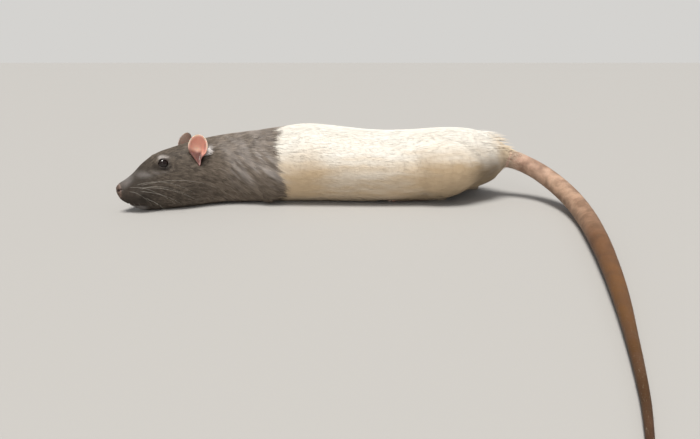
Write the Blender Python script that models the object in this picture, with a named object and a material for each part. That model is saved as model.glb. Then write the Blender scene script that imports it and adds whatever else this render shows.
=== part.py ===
"""A life-size hooded pet rat that lies stretched out on its belly, its long tail laid in a bow on the floor.

The rat's nose points to -X and its left side faces -Y. The floor is the plane z = 0, and the origin is
under the middle of the belly. Every size below is in millimetres, and the meshes are written in metres.
"""

import math
from collections import namedtuple

import bmesh
import bpy
from mathutils import Matrix, Vector

MM = 0.001
GAP = 0.3

# A side is -1 for the rat's left and +1 for its right
LEFT = -1
RIGHT = 1
SIDE_NAMES = {LEFT: "left", RIGHT: "right"}

# Spine, measured along the back from the tip of the nose
NOSE_PLACE = Vector((-127.0, -36.0))
HEAD_HEADING = math.radians(32.0)
SHOULDER_HEADING = math.radians(3.0)
HEAD_END = 47.0
NECK_END = 84.0
CHEST_END = 123.0
LOIN_END = 161.0
BODY_END = 228.5

# Outline of the body across the spine, one row for each named place
Station = namedtuple("Station", "name at top bottom half_width belt back_fullness belly_fullness")
STATIONS = (
    Station("nose tip", 0.0, 14.2, 10.9, 1.2, 12.6, 1.00, 1.00),
    Station("nostrils", 1.4, 16.0, 7.6, 3.1, 12.2, 1.00, 1.00),
    Station("upper lip", 6.0, 18.5, 3.7, 5.5, 9.8, 0.95, 0.90),
    Station("whisker pads", 10.0, 21.3, 1.0, 7.7, 9.6, 0.95, 0.96),
    Station("bridge", 15.0, 25.9, -1.2, 9.2, 11.0, 0.90, 0.96),
    Station("eyes", 23.5, 30.8, -1.6, 11.0, 13.5, 0.74, 0.86),
    Station("cheeks", 33.0, 33.6, -1.6, 13.4, 14.0, 0.82, 0.74),
    Station("ears", 43.0, 35.8, -1.6, 15.2, 15.0, 0.90, 0.72),
    Station("nape", 57.0, 38.1, -1.8, 18.2, 15.5, 0.95, 0.74),
    Station("shoulders", 79.0, 40.4, -2.0, 22.6, 16.5, 0.95, 0.82),
    Station("withers", 96.0, 42.7, -2.0, 25.0, 17.5, 0.95, 0.96),
    Station("ribs", 112.0, 44.4, -2.0, 26.8, 18.0, 0.95, 0.98),
    Station("waist", 150.0, 40.6, -2.2, 28.4, 17.0, 0.95, 0.88),
    Station("loins", 172.0, 40.6, -2.0, 28.0, 17.5, 0.95, 0.88),
    Station("hips", 191.0, 41.8, 0.2, 27.0, 20.0, 0.92, 0.84),
    Station("haunches", 206.0, 41.4, 4.4, 23.8, 22.5, 0.95, 0.90),
    Station("dock", 218.0, 38.6, 8.0, 17.2, 24.0, 1.00, 0.95),
    Station("seat", 224.5, 35.4, 11.0, 12.0, 24.3, 1.00, 1.00),
    Station("tail root", 228.5, 32.2, 16.6, 8.0, 24.4, 1.00, 1.00),
)
BODY_SIDES = 36
SNOUT_RINGS = (0.0, 0.5, 1.2, 2.2, 3.4, 4.8, 6.3)
SNOUT_END = 8.0
HEAD_RING_STEP = 2.0
BODY_RING_STEP = 4.8
RUMP_RING_STEP = 4.4

# Swellings on both sides of the body: place along the spine, height, reach along and up, and how far out
Swelling = namedtuple("Swelling", "name at height along upright out")
SWELLINGS = (
    Swelling("furrow behind the nose", 3.6, 12.8, 1.8, 3.6, -1.3),
    Swelling("whisker pad", 9.0, 9.8, 4.4, 3.8, 1.6),
    Swelling("lower jaw", 8.0, 2.4, 7.0, 3.0, -2.4),
    Swelling("brow", 23.5, 28.0, 5.0, 3.4, 0.9),
    Swelling("cheek", 31.0, 9.0, 9.0, 8.0, 1.4),
    Swelling("hollow before the eye", 16.5, 18.5, 4.0, 4.5, -0.8),
)
# Near the middle of the body a swelling fades out over this width
SWELLING_FADE = 3.0

# Eyes and lids
EYE_AT = 24.4
EYE_HEIGHT = 26.0
EYE_OUT = 7.3
EYE_RADIUS = 2.9
EYE_LOOK = Vector((-0.24, 0.88, 0.32))
EYE_MOUND = (4.3, 2.2, 3.6)
LID_RADIUS = 0.5
LID_CLEARANCE = 0.2
LID_CORNER_ANGLE = math.radians(70.0)
LID_EDGE_ANGLE = math.radians(54.0)
LID_SECTORS = 20

# Ears
EAR_AT = {LEFT: 43.0, RIGHT: 42.0}
EAR_OUT = 11.8
EAR_HEIGHT = {LEFT: 34.6, RIGHT: 33.3}
EAR_HALF_WIDTH = 5.2
EAR_RISE = 6.3
EAR_DROP = 6.1
EAR_LOBE = 4.8
EAR_LOBE_POINT = 26
EAR_SWEEP = 2.6
EAR_DEPTH = 4.2
EAR_CURL = 0.7
EAR_SAG = 2.0
EAR_THICKNESS = 0.8
EAR_RIM_STANDS = 0.28
EAR_CLEARANCE = 2.0
EAR_OPEN_TO = Vector((-0.50, 0.80, 0.16))
EAR_LEAN = {LEFT: Vector((0.06, 0.22, 1.0)), RIGHT: Vector((-0.34, 0.95, 1.0))}
EAR_SECTORS = 28
EAR_RINGS = 5
EAR_BOWL = 0.9

# Nose and mouth
Nostril = namedtuple("Nostril", "at out height radii")
NOSTRIL_PARTS = (
    Nostril(0.8, 1.7, 12.7, (0.8, 0.8, 0.65)),
    Nostril(1.5, 2.5, 13.2, (1.3, 1.0, 0.45)),
)
NOSTRIL_SIDES = 10
LIP_CLEFT_PLACES = (0.0, 0.6, 1.4, 2.8, 5.2)
LIP_CLEFT_RADIUS = 0.4
MOUTH_FRONT = 5.0
MOUTH_CORNER = 13.6
MOUTH_HEIGHT = 4.5
MOUTH_CORNER_RISE = 1.3
MOUTH_GAPE = 0.25
MOUTH_DEPTH = 1.4
MOUTH_STEPS = 8

# Tail, as a row of places along it from its root: it comes down to the floor and lies on it
TailRow = namedtuple("TailRow", "at x y height radius")
TAIL_ROWS = (
    TailRow(0.0, 92.6, 0.7, 24.2, 5.4),
    TailRow(8.5, 100.9, -1.2, 22.2, 5.15),
    TailRow(20.5, 110.5, -6.8, 17.9, 5.1),
    TailRow(34.5, 117.6, -17.0, 12.8, 5.2),
    TailRow(53.5, 121.2, -34.4, 7.9, 5.1),
    TailRow(77.5, 119.1, -57.9, 4.9, 4.8),
    TailRow(107.5, 111.8, -87.0, 4.2, 4.25),
    TailRow(137.5, 103.3, -115.7, 3.5, 3.6),
    TailRow(167.5, 93.8, -144.2, 2.8, 2.85),
    TailRow(197.5, 83.4, -172.3, 1.9, 1.9),
    TailRow(227.5, 72.3, -200.2, 1.2, 1.25),
    TailRow(249.0, 63.6, -218.8, 0.8, 0.85),
)
TAIL_LENGTH = TAIL_ROWS[-1].at
TAIL_SIDES = 12
TAIL_RING_STEP = 5.5
TAIL_TIP_SHARE = 0.6
TAIL_TIP_REACH = 0.8
TAIL_CUTS = (5.0, 34.0, 70.0, 114.0, 166.0, TAIL_LENGTH)
CUFF = 0.9

# Legs, folded against the body
Round = namedtuple("Round", "at out height radii")
THIGH = Round(188.5, 19.0, 20.4, (22.0, 10.8, 16.8))
SHANK = Round(180.5, 15.4, 9.4, (15.0, 7.6, 7.8))
UPPER_ARM = Round(91.0, 17.6, 15.4, (12.0, 8.0, 12.2))
HIND_SHIFT = {LEFT: 0.0, RIGHT: 8.0}
ELBOW_AT = 91.0
ELBOW_OUT = 16.6
ELBOW_HEIGHT = 6.6
WRIST_PLACE = {LEFT: Vector((-60.0, -5.5, 4.2)), RIGHT: Vector((-72.0, 20.0, 4.2))}
FOREARM_RADII = (6.0, 4.2)
HOCK_RADII = (6.4, 5.2, 3.9)
HOCK_HEIGHT = 6.2
HOCK_BEHIND = 0.6
HOCK_BEND_AT = 0.55
HOCK_END_REACH = 0.7
HOCK_END_SHARE = 0.55
HEEL_PLACE = {LEFT: Vector((54.0, -7.5)), RIGHT: Vector((80.0, 20.0))}
FOOT_TURN = {LEFT: math.radians(181.0), RIGHT: math.radians(163.0)}
PAW_TURN = {LEFT: math.radians(194.0), RIGHT: math.radians(178.0)}

# Feet: lengths are from the heel or wrist to the root of the middle toe
Foot = namedtuple("Foot", "sole half_widths heights toes toe_radius toe_spread claw")
HIND_FOOT = Foot(26.0, (3.2, 3.3, 4.4), (6.2, 5.0, 3.9), (5.6, 8.8, 9.4, 9.0, 6.4), 1.25, 0.21, 2.2)
FORE_PAW = Foot(8.0, (3.0, 3.4, 3.8), (5.0, 4.4, 3.6), (5.4, 6.6, 6.6, 5.2), 1.05, 0.27, 1.6)
# Rows of a sole from behind the heel to between the toes: share of its length, which of its three widths
# and heights holds there, and how much of each is left
SoleRow = namedtuple("SoleRow", "share part width height")
SOLE_ROWS = (
    SoleRow(-0.15, 0, 0.6, 0.8),
    SoleRow(0.0, 0, 1.0, 1.0),
    SoleRow(0.5, 1, 1.0, 1.0),
    SoleRow(0.92, 2, 1.0, 1.0),
    SoleRow(1.06, 2, 0.72, 0.7),
)
SOLE_ROOT = 0.9
SOLE_ROW = 1.7
TOE_TAPER = (1.0, 0.95, 0.92, 0.5)
KNUCKLE_AT = 0.45
KNUCKLE_RISE = 0.55
PAD_AT = 0.86
PAD_DROP = 0.45
TIP_DROP = 0.65
TOE_LIFT = 0.4
CLAW_RADII = (0.55, 0.42, 0.16)
CLAW_MIDDLE = 0.7
CLAW_OVERREACH = 0.8
CLAW_ARCH = 0.35
CLAW_SIDES = 6
TOE_SIDES = 8
SOLE_SIDES = 12
SINK = 0.5
ROOM = 0.5
HEEL_ROOM = 5.0
TOE_ROOM = 2.6
WIDER_ROOM_AT = 0.7
FLOOR_BLOCK = 400.0

COLOURS = {
    "hood fur": ((0.085, 0.070, 0.058), 0.85),
    "white fur": ((0.80, 0.74, 0.62), 0.85),
    "bare skin": ((0.62, 0.34, 0.27), 0.55),
    "ear skin": ((0.66, 0.27, 0.20), 0.5),
    "eye": ((0.008, 0.006, 0.006), 0.06),
}


def clear_scene():
    for old in list(bpy.data.objects):
        bpy.data.objects.remove(old)


def make_materials():
    made = {}
    for name, (colour, roughness) in COLOURS.items():
        material = bpy.data.materials.new(name)
        material.use_nodes = True
        shader = material.node_tree.nodes["Principled BSDF"]
        shader.inputs["Base Color"].default_value = (*colour, 1.0)
        shader.inputs["Roughness"].default_value = roughness
        shader.inputs["Metallic"].default_value = 0.0
        made[name] = material
    return made


def smoothstep(low, high, value):
    share = min(1.0, max(0.0, (value - low) / (high - low)))
    return share * share * (3.0 - 2.0 * share)


def heading_at(s):
    """Which way the spine runs, from the nose towards the tail, seen from above."""
    neck = smoothstep(HEAD_END, NECK_END, s)
    back = smoothstep(NECK_END, LOIN_END, s)
    return HEAD_HEADING * (1.0 - neck) + SHOULDER_HEADING * neck * (1.0 - back)


def trace_spine():
    """Places along the spine, 1 mm apart."""
    places = [NOSE_PLACE.copy()]
    for step in range(int(BODY_END) + 1):
        heading = heading_at(step + 0.5)
        places.append(places[-1] + Vector((math.cos(heading), math.sin(heading))))
    return places


SPINE = trace_spine()


def spine_at(s):
    step = min(len(SPINE) - 2, max(0, int(s)))
    return SPINE[step].lerp(SPINE[step + 1], s - step)


def place(s, out, height):
    """A point at s along the spine, out to the rat's right of it, and so high above the floor."""
    heading = heading_at(s)
    centre = spine_at(s)
    return Vector((centre.x - out * math.sin(heading), centre.y + out * math.cos(heading), height))


def direction(s, local):
    """A local direction of backwards, to the right and up, turned as the spine lies at s."""
    heading = heading_at(s)
    return Matrix.Rotation(heading, 3, "Z") @ local


def smooth_between(rows, key, at):
    """A smooth curve through the rows' values, read at one place."""
    places = [row.at for row in rows]
    values = [getattr(row, key) for row in rows]
    last = len(rows) - 1
    i = max(0, min(last - 1, sum(p <= at for p in places) - 1))
    span = places[i + 1] - places[i]

    def slope(k):
        low, high = max(0, k - 1), min(last, k + 1)
        return (values[high] - values[low]) / (places[high] - places[low])

    t = (at - places[i]) / span
    start, end = slope(i) * span, slope(i + 1) * span
    rise = values[i + 1] - values[i]
    return values[i] + t * (start + t * (3 * rise - 2 * start - end + t * (start + end - 2 * rise)))


def signed_power(value, exponent):
    return math.copysign(abs(value) ** exponent, value)


def swelling_out(s, height):
    total = 0.0
    for one in SWELLINGS:
        reach = ((s - one.at) / one.along) ** 2 + ((height - one.height) / one.upright) ** 2
        total += one.out * math.exp(-reach)
    return total


def outline_at(s):
    """The outline's top, bottom, half width, belt height and fullness above and below, read at s."""
    keys = ("top", "bottom", "half_width", "belt", "back_fullness", "belly_fullness")
    return [smooth_between(STATIONS, key, s) for key in keys]


def side_out(s, height):
    """How far out the body's side lies at s and so high above the floor."""
    top, bottom, half_width, belt, back, belly = outline_at(s)
    reach = top - belt if height > belt else belt - bottom
    across = math.sqrt(max(0.0, 1.0 - ((height - belt) / reach) ** 2))
    out = half_width * across ** (back if height > belt else belly)
    return out + swelling_out(s, height) * min(1.0, out / SWELLING_FADE)


def body_ring(s):
    """The body's outline across the spine at s, as a closed ring of points."""
    top, bottom, half_width, belt, back, belly = outline_at(s)
    ring = []
    for i in range(BODY_SIDES):
        angle = 2 * math.pi * (i + 0.5) / BODY_SIDES
        across, up = math.cos(angle), math.sin(angle)
        if up > 0:
            out = half_width * signed_power(across, back)
            height = belt + (top - belt) * up
        else:
            out = half_width * signed_power(across, belly)
            height = belt + (belt - bottom) * up
        swollen = swelling_out(s, height) * min(1.0, abs(out) / SWELLING_FADE)
        out += swollen * math.copysign(1.0, out)
        ring.append(place(s, out, height))
    return ring


def loft(rings):
    """A closed mesh over a row of rings, with a flat cap at each end."""
    mesh = bmesh.new()
    rows = [[mesh.verts.new(point * MM) for point in ring] for ring in rings]
    for row, after in zip(rows, rows[1:]):
        for i, corner in enumerate(row):
            beside = (i + 1) % len(row)
            mesh.faces.new((corner, row[beside], after[beside], after[i]))
    mesh.faces.new(rows[0])
    mesh.faces.new(rows[-1])
    bmesh.ops.recalc_face_normals(mesh, faces=mesh.faces)
    return mesh


def tube(path, half_widths, half_heights, sides):
    """A tube of oval sections on a path of points, level across."""
    rings = []
    for i, point in enumerate(path):
        along = (path[min(i + 1, len(path) - 1)] - path[max(i - 1, 0)]).normalized()
        across = Vector((0, 0, 1)).cross(along).normalized()
        up = along.cross(across)
        ring = []
        for k in range(sides):
            angle = 2 * math.pi * (k + 0.5) / sides
            sideways = across * (half_widths[i] * math.cos(angle))
            ring.append(point + sideways + up * (half_heights[i] * math.sin(angle)))
        rings.append(ring)
    return loft(rings)


def ball(centre, radii, segments=20):
    """An ellipsoid at a place."""
    mesh = bmesh.new()
    bmesh.ops.create_uvsphere(mesh, u_segments=segments, v_segments=segments // 2, radius=1.0)
    bmesh.ops.scale(mesh, vec=Vector(radii) * MM, verts=mesh.verts)
    bmesh.ops.translate(mesh, vec=centre * MM, verts=mesh.verts)
    return mesh


def solid(name, mesh):
    """A new object that holds a mesh."""
    data = bpy.data.meshes.new(name)
    mesh.to_mesh(data)
    mesh.free()
    made = bpy.data.objects.new(name, data)
    bpy.context.scene.collection.objects.link(made)
    return made


def boolean(target, others, operation):
    """Joins or cuts a target with other objects, which are then removed."""
    group = bpy.data.collections.new("working pieces")
    bpy.context.scene.collection.children.link(group)
    for other in others:
        bpy.context.scene.collection.objects.unlink(other)
        group.objects.link(other)
    modifier = target.modifiers.new("work", "BOOLEAN")
    modifier.operation = operation
    modifier.operand_type = "COLLECTION"
    modifier.collection = group
    modifier.solver = "EXACT"
    bpy.context.view_layer.update()
    graph = bpy.context.evaluated_depsgraph_get()
    shaped = bpy.data.meshes.new_from_object(target.evaluated_get(graph))
    target.modifiers.clear()
    target.data = shaped
    for other in others:
        bpy.data.objects.remove(other)
    bpy.data.collections.remove(group)
    return target


def union(pieces):
    return boolean(pieces[0], pieces[1:], "UNION")


def carve(target, cutters):
    return boolean(target, cutters, "DIFFERENCE")


def floor_block():
    """What lies under the floor, as a cutter."""
    mesh = bmesh.new()
    bmesh.ops.create_cube(mesh, size=FLOOR_BLOCK * MM)
    bmesh.ops.translate(mesh, vec=Vector((0, 0, -FLOOR_BLOCK / 2)) * MM, verts=mesh.verts)
    return solid("floor", mesh)


def keep_largest(made):
    """Drops every loose scrap that a cut has left, and the inner walls of sealed hollows."""
    mesh = bmesh.new()
    mesh.from_mesh(made.data)
    bmesh.ops.remove_doubles(mesh, verts=mesh.verts, dist=1e-7)
    left = set(mesh.verts)
    shells = []
    while left:
        shell, front = set(), [left.pop()]
        while front:
            corner = front.pop()
            shell.add(corner)
            beside = [edge.other_vert(corner) for edge in corner.link_edges]
            front.extend(v for v in beside if v in left)
            left.difference_update(beside)
        shells.append(shell)
    shells.sort(key=len)
    for shell in shells[:-1]:
        bmesh.ops.delete(mesh, geom=list(shell), context="VERTS")
    mesh.to_mesh(made.data)
    mesh.free()
    return made


def finish(made, material):
    """Gives a node its colour and smooth shading."""
    keep_largest(made)
    made.data.materials.clear()
    made.data.materials.append(material)
    made.data.shade_smooth()
    made.data.set_sharp_from_angle(angle=math.radians(50.0))


def body_length(name, start, end, ring_step):
    """One length of the body, a gap's half short of each cut."""
    snout = SNOUT_RINGS if start == 0 else ()
    first = start + GAP / 2 if start > 0 else SNOUT_END
    last = end - GAP / 2
    count = max(2, round((last - first) / ring_step))
    rings = [body_ring(s) for s in snout]
    rings += [body_ring(first + (last - first) * i / count) for i in range(count + 1)]
    if end == BODY_END:
        rings.append(tail_ring(TAIL_CUTS[0] - GAP, BODY_SIDES, CUFF))
    return solid(name, loft(rings))


def tail_at(t):
    """The middle of the tail at t along it."""
    return Vector([smooth_between(TAIL_ROWS, key, t) for key in ("x", "y", "height")])


def tail_ring(t, sides, grow=0.0):
    """The tail's outline at t along it."""
    centre = tail_at(t)
    along = (tail_at(min(t + 1.0, TAIL_LENGTH)) - tail_at(max(t - 1.0, 0.0))).normalized()
    across = Vector((0, 0, 1)).cross(along).normalized()
    up = along.cross(across)
    radius = smooth_between(TAIL_ROWS, "radius", t) + grow
    ring = []
    for k in range(sides):
        angle = 2 * math.pi * (k + 0.5) / sides
        ring.append(centre + across * (radius * math.cos(angle)) + up * (radius * math.sin(angle)))
    return ring


def tail_length(name, start, end):
    """One length of the tail; the last one ends in a round tip."""
    first = start + GAP / 2
    last = end - GAP / 2 if end < TAIL_LENGTH else end
    count = max(2, round((last - first) / TAIL_RING_STEP))
    rings = [tail_ring(first + (last - first) * i / count, TAIL_SIDES) for i in range(count + 1)]
    if end == TAIL_LENGTH:
        middle = sum(rings[-1], Vector()) / TAIL_SIDES
        forward = (middle - sum(rings[-2], Vector()) / TAIL_SIDES).normalized()
        reach = forward * (TAIL_ROWS[-1].radius * TAIL_TIP_REACH)
        rings.append([middle.lerp(point, TAIL_TIP_SHARE) + reach for point in rings[-1]])
    return carve(solid(name, loft(rings)), [floor_block()])


def ear_axes(side):
    """The ear's way of opening, its width towards the back, and its rise, for one side of the head."""
    opening = Vector((EAR_OPEN_TO.x, EAR_OPEN_TO.y * side, EAR_OPEN_TO.z)).normalized()
    lean = Vector((EAR_LEAN[side].x, EAR_LEAN[side].y * side, EAR_LEAN[side].z))
    rise = (lean - opening * lean.dot(opening)).normalized()
    backward = opening.cross(rise) * side
    return [direction(EAR_AT[side], axis) for axis in (opening, backward, rise)]


def ear_shell(side, depth, grow):
    """Rings of an ear's cup, from its rim to the bottom of the bowl."""
    opening, backward, rise = ear_axes(side)
    centre = place(EAR_AT[side], EAR_OUT * side, EAR_HEIGHT[side])
    rings = []
    for i in range(EAR_RINGS + 1):
        share = i / EAR_RINGS * EAR_BOWL
        shrink = math.sqrt(1.0 - share)
        ring = []
        for k in range(EAR_SECTORS):
            angle = 2 * math.pi * k / EAR_SECTORS
            upright = math.cos(angle)
            lobe = max(0.0, -upright) ** EAR_LOBE_POINT
            reach = EAR_DROP + EAR_LOBE * lobe if upright < 0 else EAR_RISE
            across = (EAR_HALF_WIDTH * shrink + grow) * math.sin(angle) + EAR_SWEEP * lobe * shrink
            up = (reach * shrink + grow) * upright - share * EAR_SAG
            inward = depth * share + EAR_CURL * upright * upright * (1.0 - share)
            ring.append(centre + backward * across + rise * up - opening * inward)
        rings.append(ring)
    return rings


def make_ear(side):
    """An open cup of thin skin: an outer bowl and an inner one that meet at the rim."""
    outer = ear_shell(side, EAR_DEPTH + EAR_THICKNESS, EAR_THICKNESS / 2)
    inner = ear_shell(side, EAR_DEPTH, -EAR_THICKNESS / 2)
    opening = ear_axes(side)[0]
    rim = [(a + b) / 2 + opening * EAR_RIM_STANDS for a, b in zip(outer[0], inner[0])]
    return solid(f"ear_{SIDE_NAMES[side]}", loft([*reversed(outer), rim, *inner]))


def ear_socket(side):
    """The room that an ear's filled cup takes in the head, open to the front."""
    bowl = ear_shell(side, EAR_DEPTH + EAR_THICKNESS + GAP, EAR_THICKNESS / 2 + GAP)
    opening = ear_axes(side)[0]
    mouth = [point + opening * EAR_CLEARANCE for point in bowl[0]]
    return solid("ear socket", loft([mouth, *bowl]))


def eye_place(side):
    return place(EYE_AT, EYE_OUT * side, EYE_HEIGHT)


def eye_axes(side):
    """The way that the eye looks, and its level and upright directions."""
    look = direction(EYE_AT, Vector((EYE_LOOK.x, EYE_LOOK.y * side, EYE_LOOK.z)).normalized())
    level = direction(EYE_AT, Vector((1, 0, 0)))
    level = (level - look * level.dot(look)).normalized()
    return look, level, look.cross(level)


def make_lids(side):
    """The upper and lower lids, as one almond-shaped rim that hugs the eyeball."""
    look, level, rise = eye_axes(side)
    mesh = bmesh.new()
    rows = []
    for i in range(LID_SECTORS):
        turn = 2 * math.pi * i / LID_SECTORS
        spoke = level * math.cos(turn) + rise * math.sin(turn)
        corner = math.cos(turn) ** 2
        slant = LID_EDGE_ANGLE + (LID_CORNER_ANGLE - LID_EDGE_ANGLE) * corner
        outward = look * math.cos(slant) + spoke * math.sin(slant)
        middle = eye_place(side) + outward * (EYE_RADIUS + LID_CLEARANCE)
        along = spoke * math.cos(slant) - look * math.sin(slant)
        angles = [2 * math.pi * k / 6 for k in range(6)]
        ring = [middle + (along * math.cos(a) + outward * math.sin(a)) * LID_RADIUS for a in angles]
        rows.append([mesh.verts.new(point * MM) for point in ring])
    for i, row in enumerate(rows):
        after = rows[(i + 1) % len(rows)]
        for k, corner in enumerate(row):
            beside = (k + 1) % len(row)
            mesh.faces.new((corner, row[beside], after[beside], after[k]))
    bmesh.ops.recalc_face_normals(mesh, faces=mesh.faces)
    return solid("lids", mesh)


def make_eye_mound(side):
    """The low swelling round the eye that the lids stand on."""
    heading = Matrix.Rotation(heading_at(EYE_AT), 4, "Z")
    mesh = ball(Vector(), EYE_MOUND, 18)
    bmesh.ops.transform(mesh, matrix=Matrix.Translation(eye_place(side) * MM) @ heading, verts=mesh.verts)
    return solid("eye mound", mesh)


def lip_cleft():
    """The groove that runs from under the nose down the middle of the lip to the mouth, as a cutter."""
    path = [place(s, 0.0, smooth_between(STATIONS, "bottom", s)) for s in LIP_CLEFT_PLACES]
    radii = [LIP_CLEFT_RADIUS] * len(path)
    return solid("lip cleft", tube(path, radii, radii, 8))


def mouth_line():
    """A thin flat band that follows the muzzle's sides and front, as the cutter of the mouth's line."""
    half = []
    for i in range(MOUTH_STEPS):
        share = i / MOUTH_STEPS
        s = MOUTH_CORNER + (MOUTH_FRONT - MOUTH_CORNER) * share
        height = MOUTH_HEIGHT + MOUTH_CORNER_RISE * (1.0 - share) ** 2
        half.append((s, side_out(s, height), height))
    whole = [*half, (MOUTH_FRONT, 0.0, MOUTH_HEIGHT)]
    whole += [(s, -out, height) for s, out, height in reversed(half)]
    up = Vector((0, 0, MOUTH_GAPE))
    rings = []
    for s, out, height in whole:
        point = place(s, out, height)
        inward = (place(MOUTH_CORNER, 0.0, height) - point).normalized() * MOUTH_DEPTH
        rings.append([point - inward + up, point + inward + up, point + inward - up, point - inward - up])
    return solid("mouth line", loft(rings))


def make_head():
    """The head with its lids, the sockets of eyes and ears, nostrils and the line of the mouth."""
    head = body_length("head", 0.0, HEAD_END, HEAD_RING_STEP)
    both = (LEFT, RIGHT)
    union([head, *[make_eye_mound(side) for side in both], *[make_lids(side) for side in both]])
    cutters = [floor_block(), mouth_line(), lip_cleft()]
    for side in both:
        cutters.append(ear_socket(side))
        cutters.append(solid("eye socket", ball(eye_place(side), [EYE_RADIUS + GAP] * 3, 16)))
        for hollow in NOSTRIL_PARTS:
            centre = place(hollow.at, hollow.out * side, hollow.height)
            cutters.append(solid("nostril", ball(centre, hollow.radii, NOSTRIL_SIDES)))
    return carve(head, cutters)


def make_eye(side):
    return solid(f"eye_{SIDE_NAMES[side]}", ball(eye_place(side), [EYE_RADIUS] * 3, 16))


def rounded_mass(one, side, shift=0.0, grow=0.0):
    """A leg's rounded mass, on one side of the spine and turned as the spine lies there."""
    mesh = ball(Vector(), [radius + grow for radius in one.radii], 20)
    at = one.at + shift
    turn = Matrix.Rotation(heading_at(at), 4, "Z")
    middle = Matrix.Translation(place(at, one.out * side, one.height) * MM)
    bmesh.ops.transform(mesh, matrix=middle @ turn, verts=mesh.verts)
    return mesh


def hind_leg(side, grow=0.0):
    """The folded hind leg: the thigh's round mass, the shank under it and the hock over the heel."""
    shift = HIND_SHIFT[side]
    thigh = solid(f"hind_leg_{SIDE_NAMES[side]}", rounded_mass(THIGH, side, shift, grow))
    shank = solid("shank", rounded_mass(SHANK, side, shift, grow))
    knee = place(SHANK.at + shift, SHANK.out * side, SHANK.height)
    heel = HEEL_PLACE[side]
    back = Vector((-math.cos(FOOT_TURN[side]), -math.sin(FOOT_TURN[side]), 0.0))
    hock = Vector((heel.x, heel.y, HOCK_HEIGHT)) + back * HOCK_BEHIND
    thin = HOCK_RADII[-1]
    path = [knee, knee.lerp(hock, HOCK_BEND_AT), hock, hock + back * (thin * HOCK_END_REACH)]
    radii = [radius + grow for radius in (*HOCK_RADII, thin * HOCK_END_SHARE)]
    return union([thigh, shank, solid("hock", tube(path, radii, radii, SOLE_SIDES))])


def fore_leg(side, grow=0.0):
    """The folded foreleg: the upper arm's round mass and the forearm that lies forward from the elbow."""
    upper = solid(f"fore_leg_{SIDE_NAMES[side]}", rounded_mass(UPPER_ARM, side, 0.0, grow))
    elbow = place(ELBOW_AT, ELBOW_OUT * side, ELBOW_HEIGHT)
    wrist = WRIST_PLACE[side]
    reach = (wrist - elbow).normalized() * grow
    path = [elbow - reach, elbow.lerp(wrist, 0.5), wrist + reach]
    thick, thin = FOREARM_RADII
    radii = [thick + grow, (thick + thin) / 2 + grow, thin + grow]
    return union([upper, solid("forearm", tube(path, radii, radii, SOLE_SIDES))])


def toe(form, root, ahead, length, grow):
    """One toe, arched at its knuckle, and the claw at its end."""
    knuckle = root + ahead * (length * KNUCKLE_AT) + Vector((0, 0, KNUCKLE_RISE))
    pad = root + ahead * (length * PAD_AT) - Vector((0, 0, PAD_DROP))
    tip = root + ahead * (length + grow) - Vector((0, 0, TIP_DROP))
    radii = [(form.toe_radius + grow) * share for share in TOE_TAPER]
    flesh = solid("toe", tube([root, knuckle, pad, tip], radii, radii, TOE_SIDES))
    arch = Vector((0, 0, CLAW_ARCH))
    point = pad + ahead * (form.claw + CLAW_OVERREACH) - arch
    claw_path = [pad, pad + ahead * (form.claw * CLAW_MIDDLE) + arch, point]
    claw_radii = [radius + grow for radius in CLAW_RADII]
    return [flesh, solid("claw", tube(claw_path, claw_radii, claw_radii, CLAW_SIDES))]


def foot(name, form, heel, turn, grow=0.0):
    """A foot flat on the floor: a sole that widens to the toes, and toes that end in claws."""
    forward = Vector((math.cos(turn), math.sin(turn), 0.0))
    across = Vector((-forward.y, forward.x, 0.0))
    path, widths, heights = [], [], []
    for row in SOLE_ROWS:
        beyond = -grow if row is SOLE_ROWS[0] else grow if row is SOLE_ROWS[-1] else 0.0
        height = form.heights[row.part] * row.height
        level = Vector((heel.x, heel.y, height / 2 - SINK))
        path.append(level + forward * (form.sole * row.share + beyond))
        widths.append(form.half_widths[row.part] * row.width + grow)
        heights.append(height / 2 + grow)
    pieces = [solid(name, tube(path, widths, heights, SOLE_SIDES))]
    middle_toe = (len(form.toes) - 1) / 2
    toe_step = form.half_widths[2] * SOLE_ROW / len(form.toes)
    for i, length in enumerate(form.toes):
        offset = i - middle_toe
        fan = turn + offset * form.toe_spread
        ahead = Vector((math.cos(fan), math.sin(fan), 0.0))
        root = Vector((heel.x, heel.y, form.toe_radius + TOE_LIFT))
        root += forward * (form.sole * SOLE_ROOT) + across * (offset * toe_step)
        pieces += toe(form, root, ahead, length, grow)
    return union(pieces)


def foot_room(form, heel, turn):
    """The plain square-edged room that a folded foot takes under the body, as a cutter."""
    forward = Vector((math.cos(turn), math.sin(turn), 0.0))
    start = Vector((heel.x, heel.y, 0.0))
    length = form.sole + max(form.toes) + form.claw
    places = (-HEEL_ROOM, form.sole * WIDER_ROOM_AT, form.sole, length + ROOM)
    path = [start + forward * reach for reach in places]
    back, _, front = form.half_widths
    diagonal = math.sqrt(2.0)
    widths = [(width + ROOM) * diagonal for width in (back, front, front + TOE_ROOM, front + TOE_ROOM)]
    heights = [(height + ROOM) * diagonal for height in (form.heights[0],) * 2 + form.heights[1:]]
    return solid("foot room", tube(path, widths, heights, 4))


def hind_foot_room(side):
    return foot_room(HIND_FOOT, HEEL_PLACE[side], FOOT_TURN[side])


def fore_paw_room(side):
    return foot_room(FORE_PAW, WRIST_PLACE[side].xy, PAW_TURN[side])


def hind_foot(side, grow=0.0):
    return foot(f"hind_foot_{SIDE_NAMES[side]}", HIND_FOOT, HEEL_PLACE[side], FOOT_TURN[side], grow)


def fore_paw(side, grow=0.0):
    wrist = WRIST_PLACE[side]
    return foot(f"fore_paw_{SIDE_NAMES[side]}", FORE_PAW, wrist.xy, PAW_TURN[side], grow)


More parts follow.
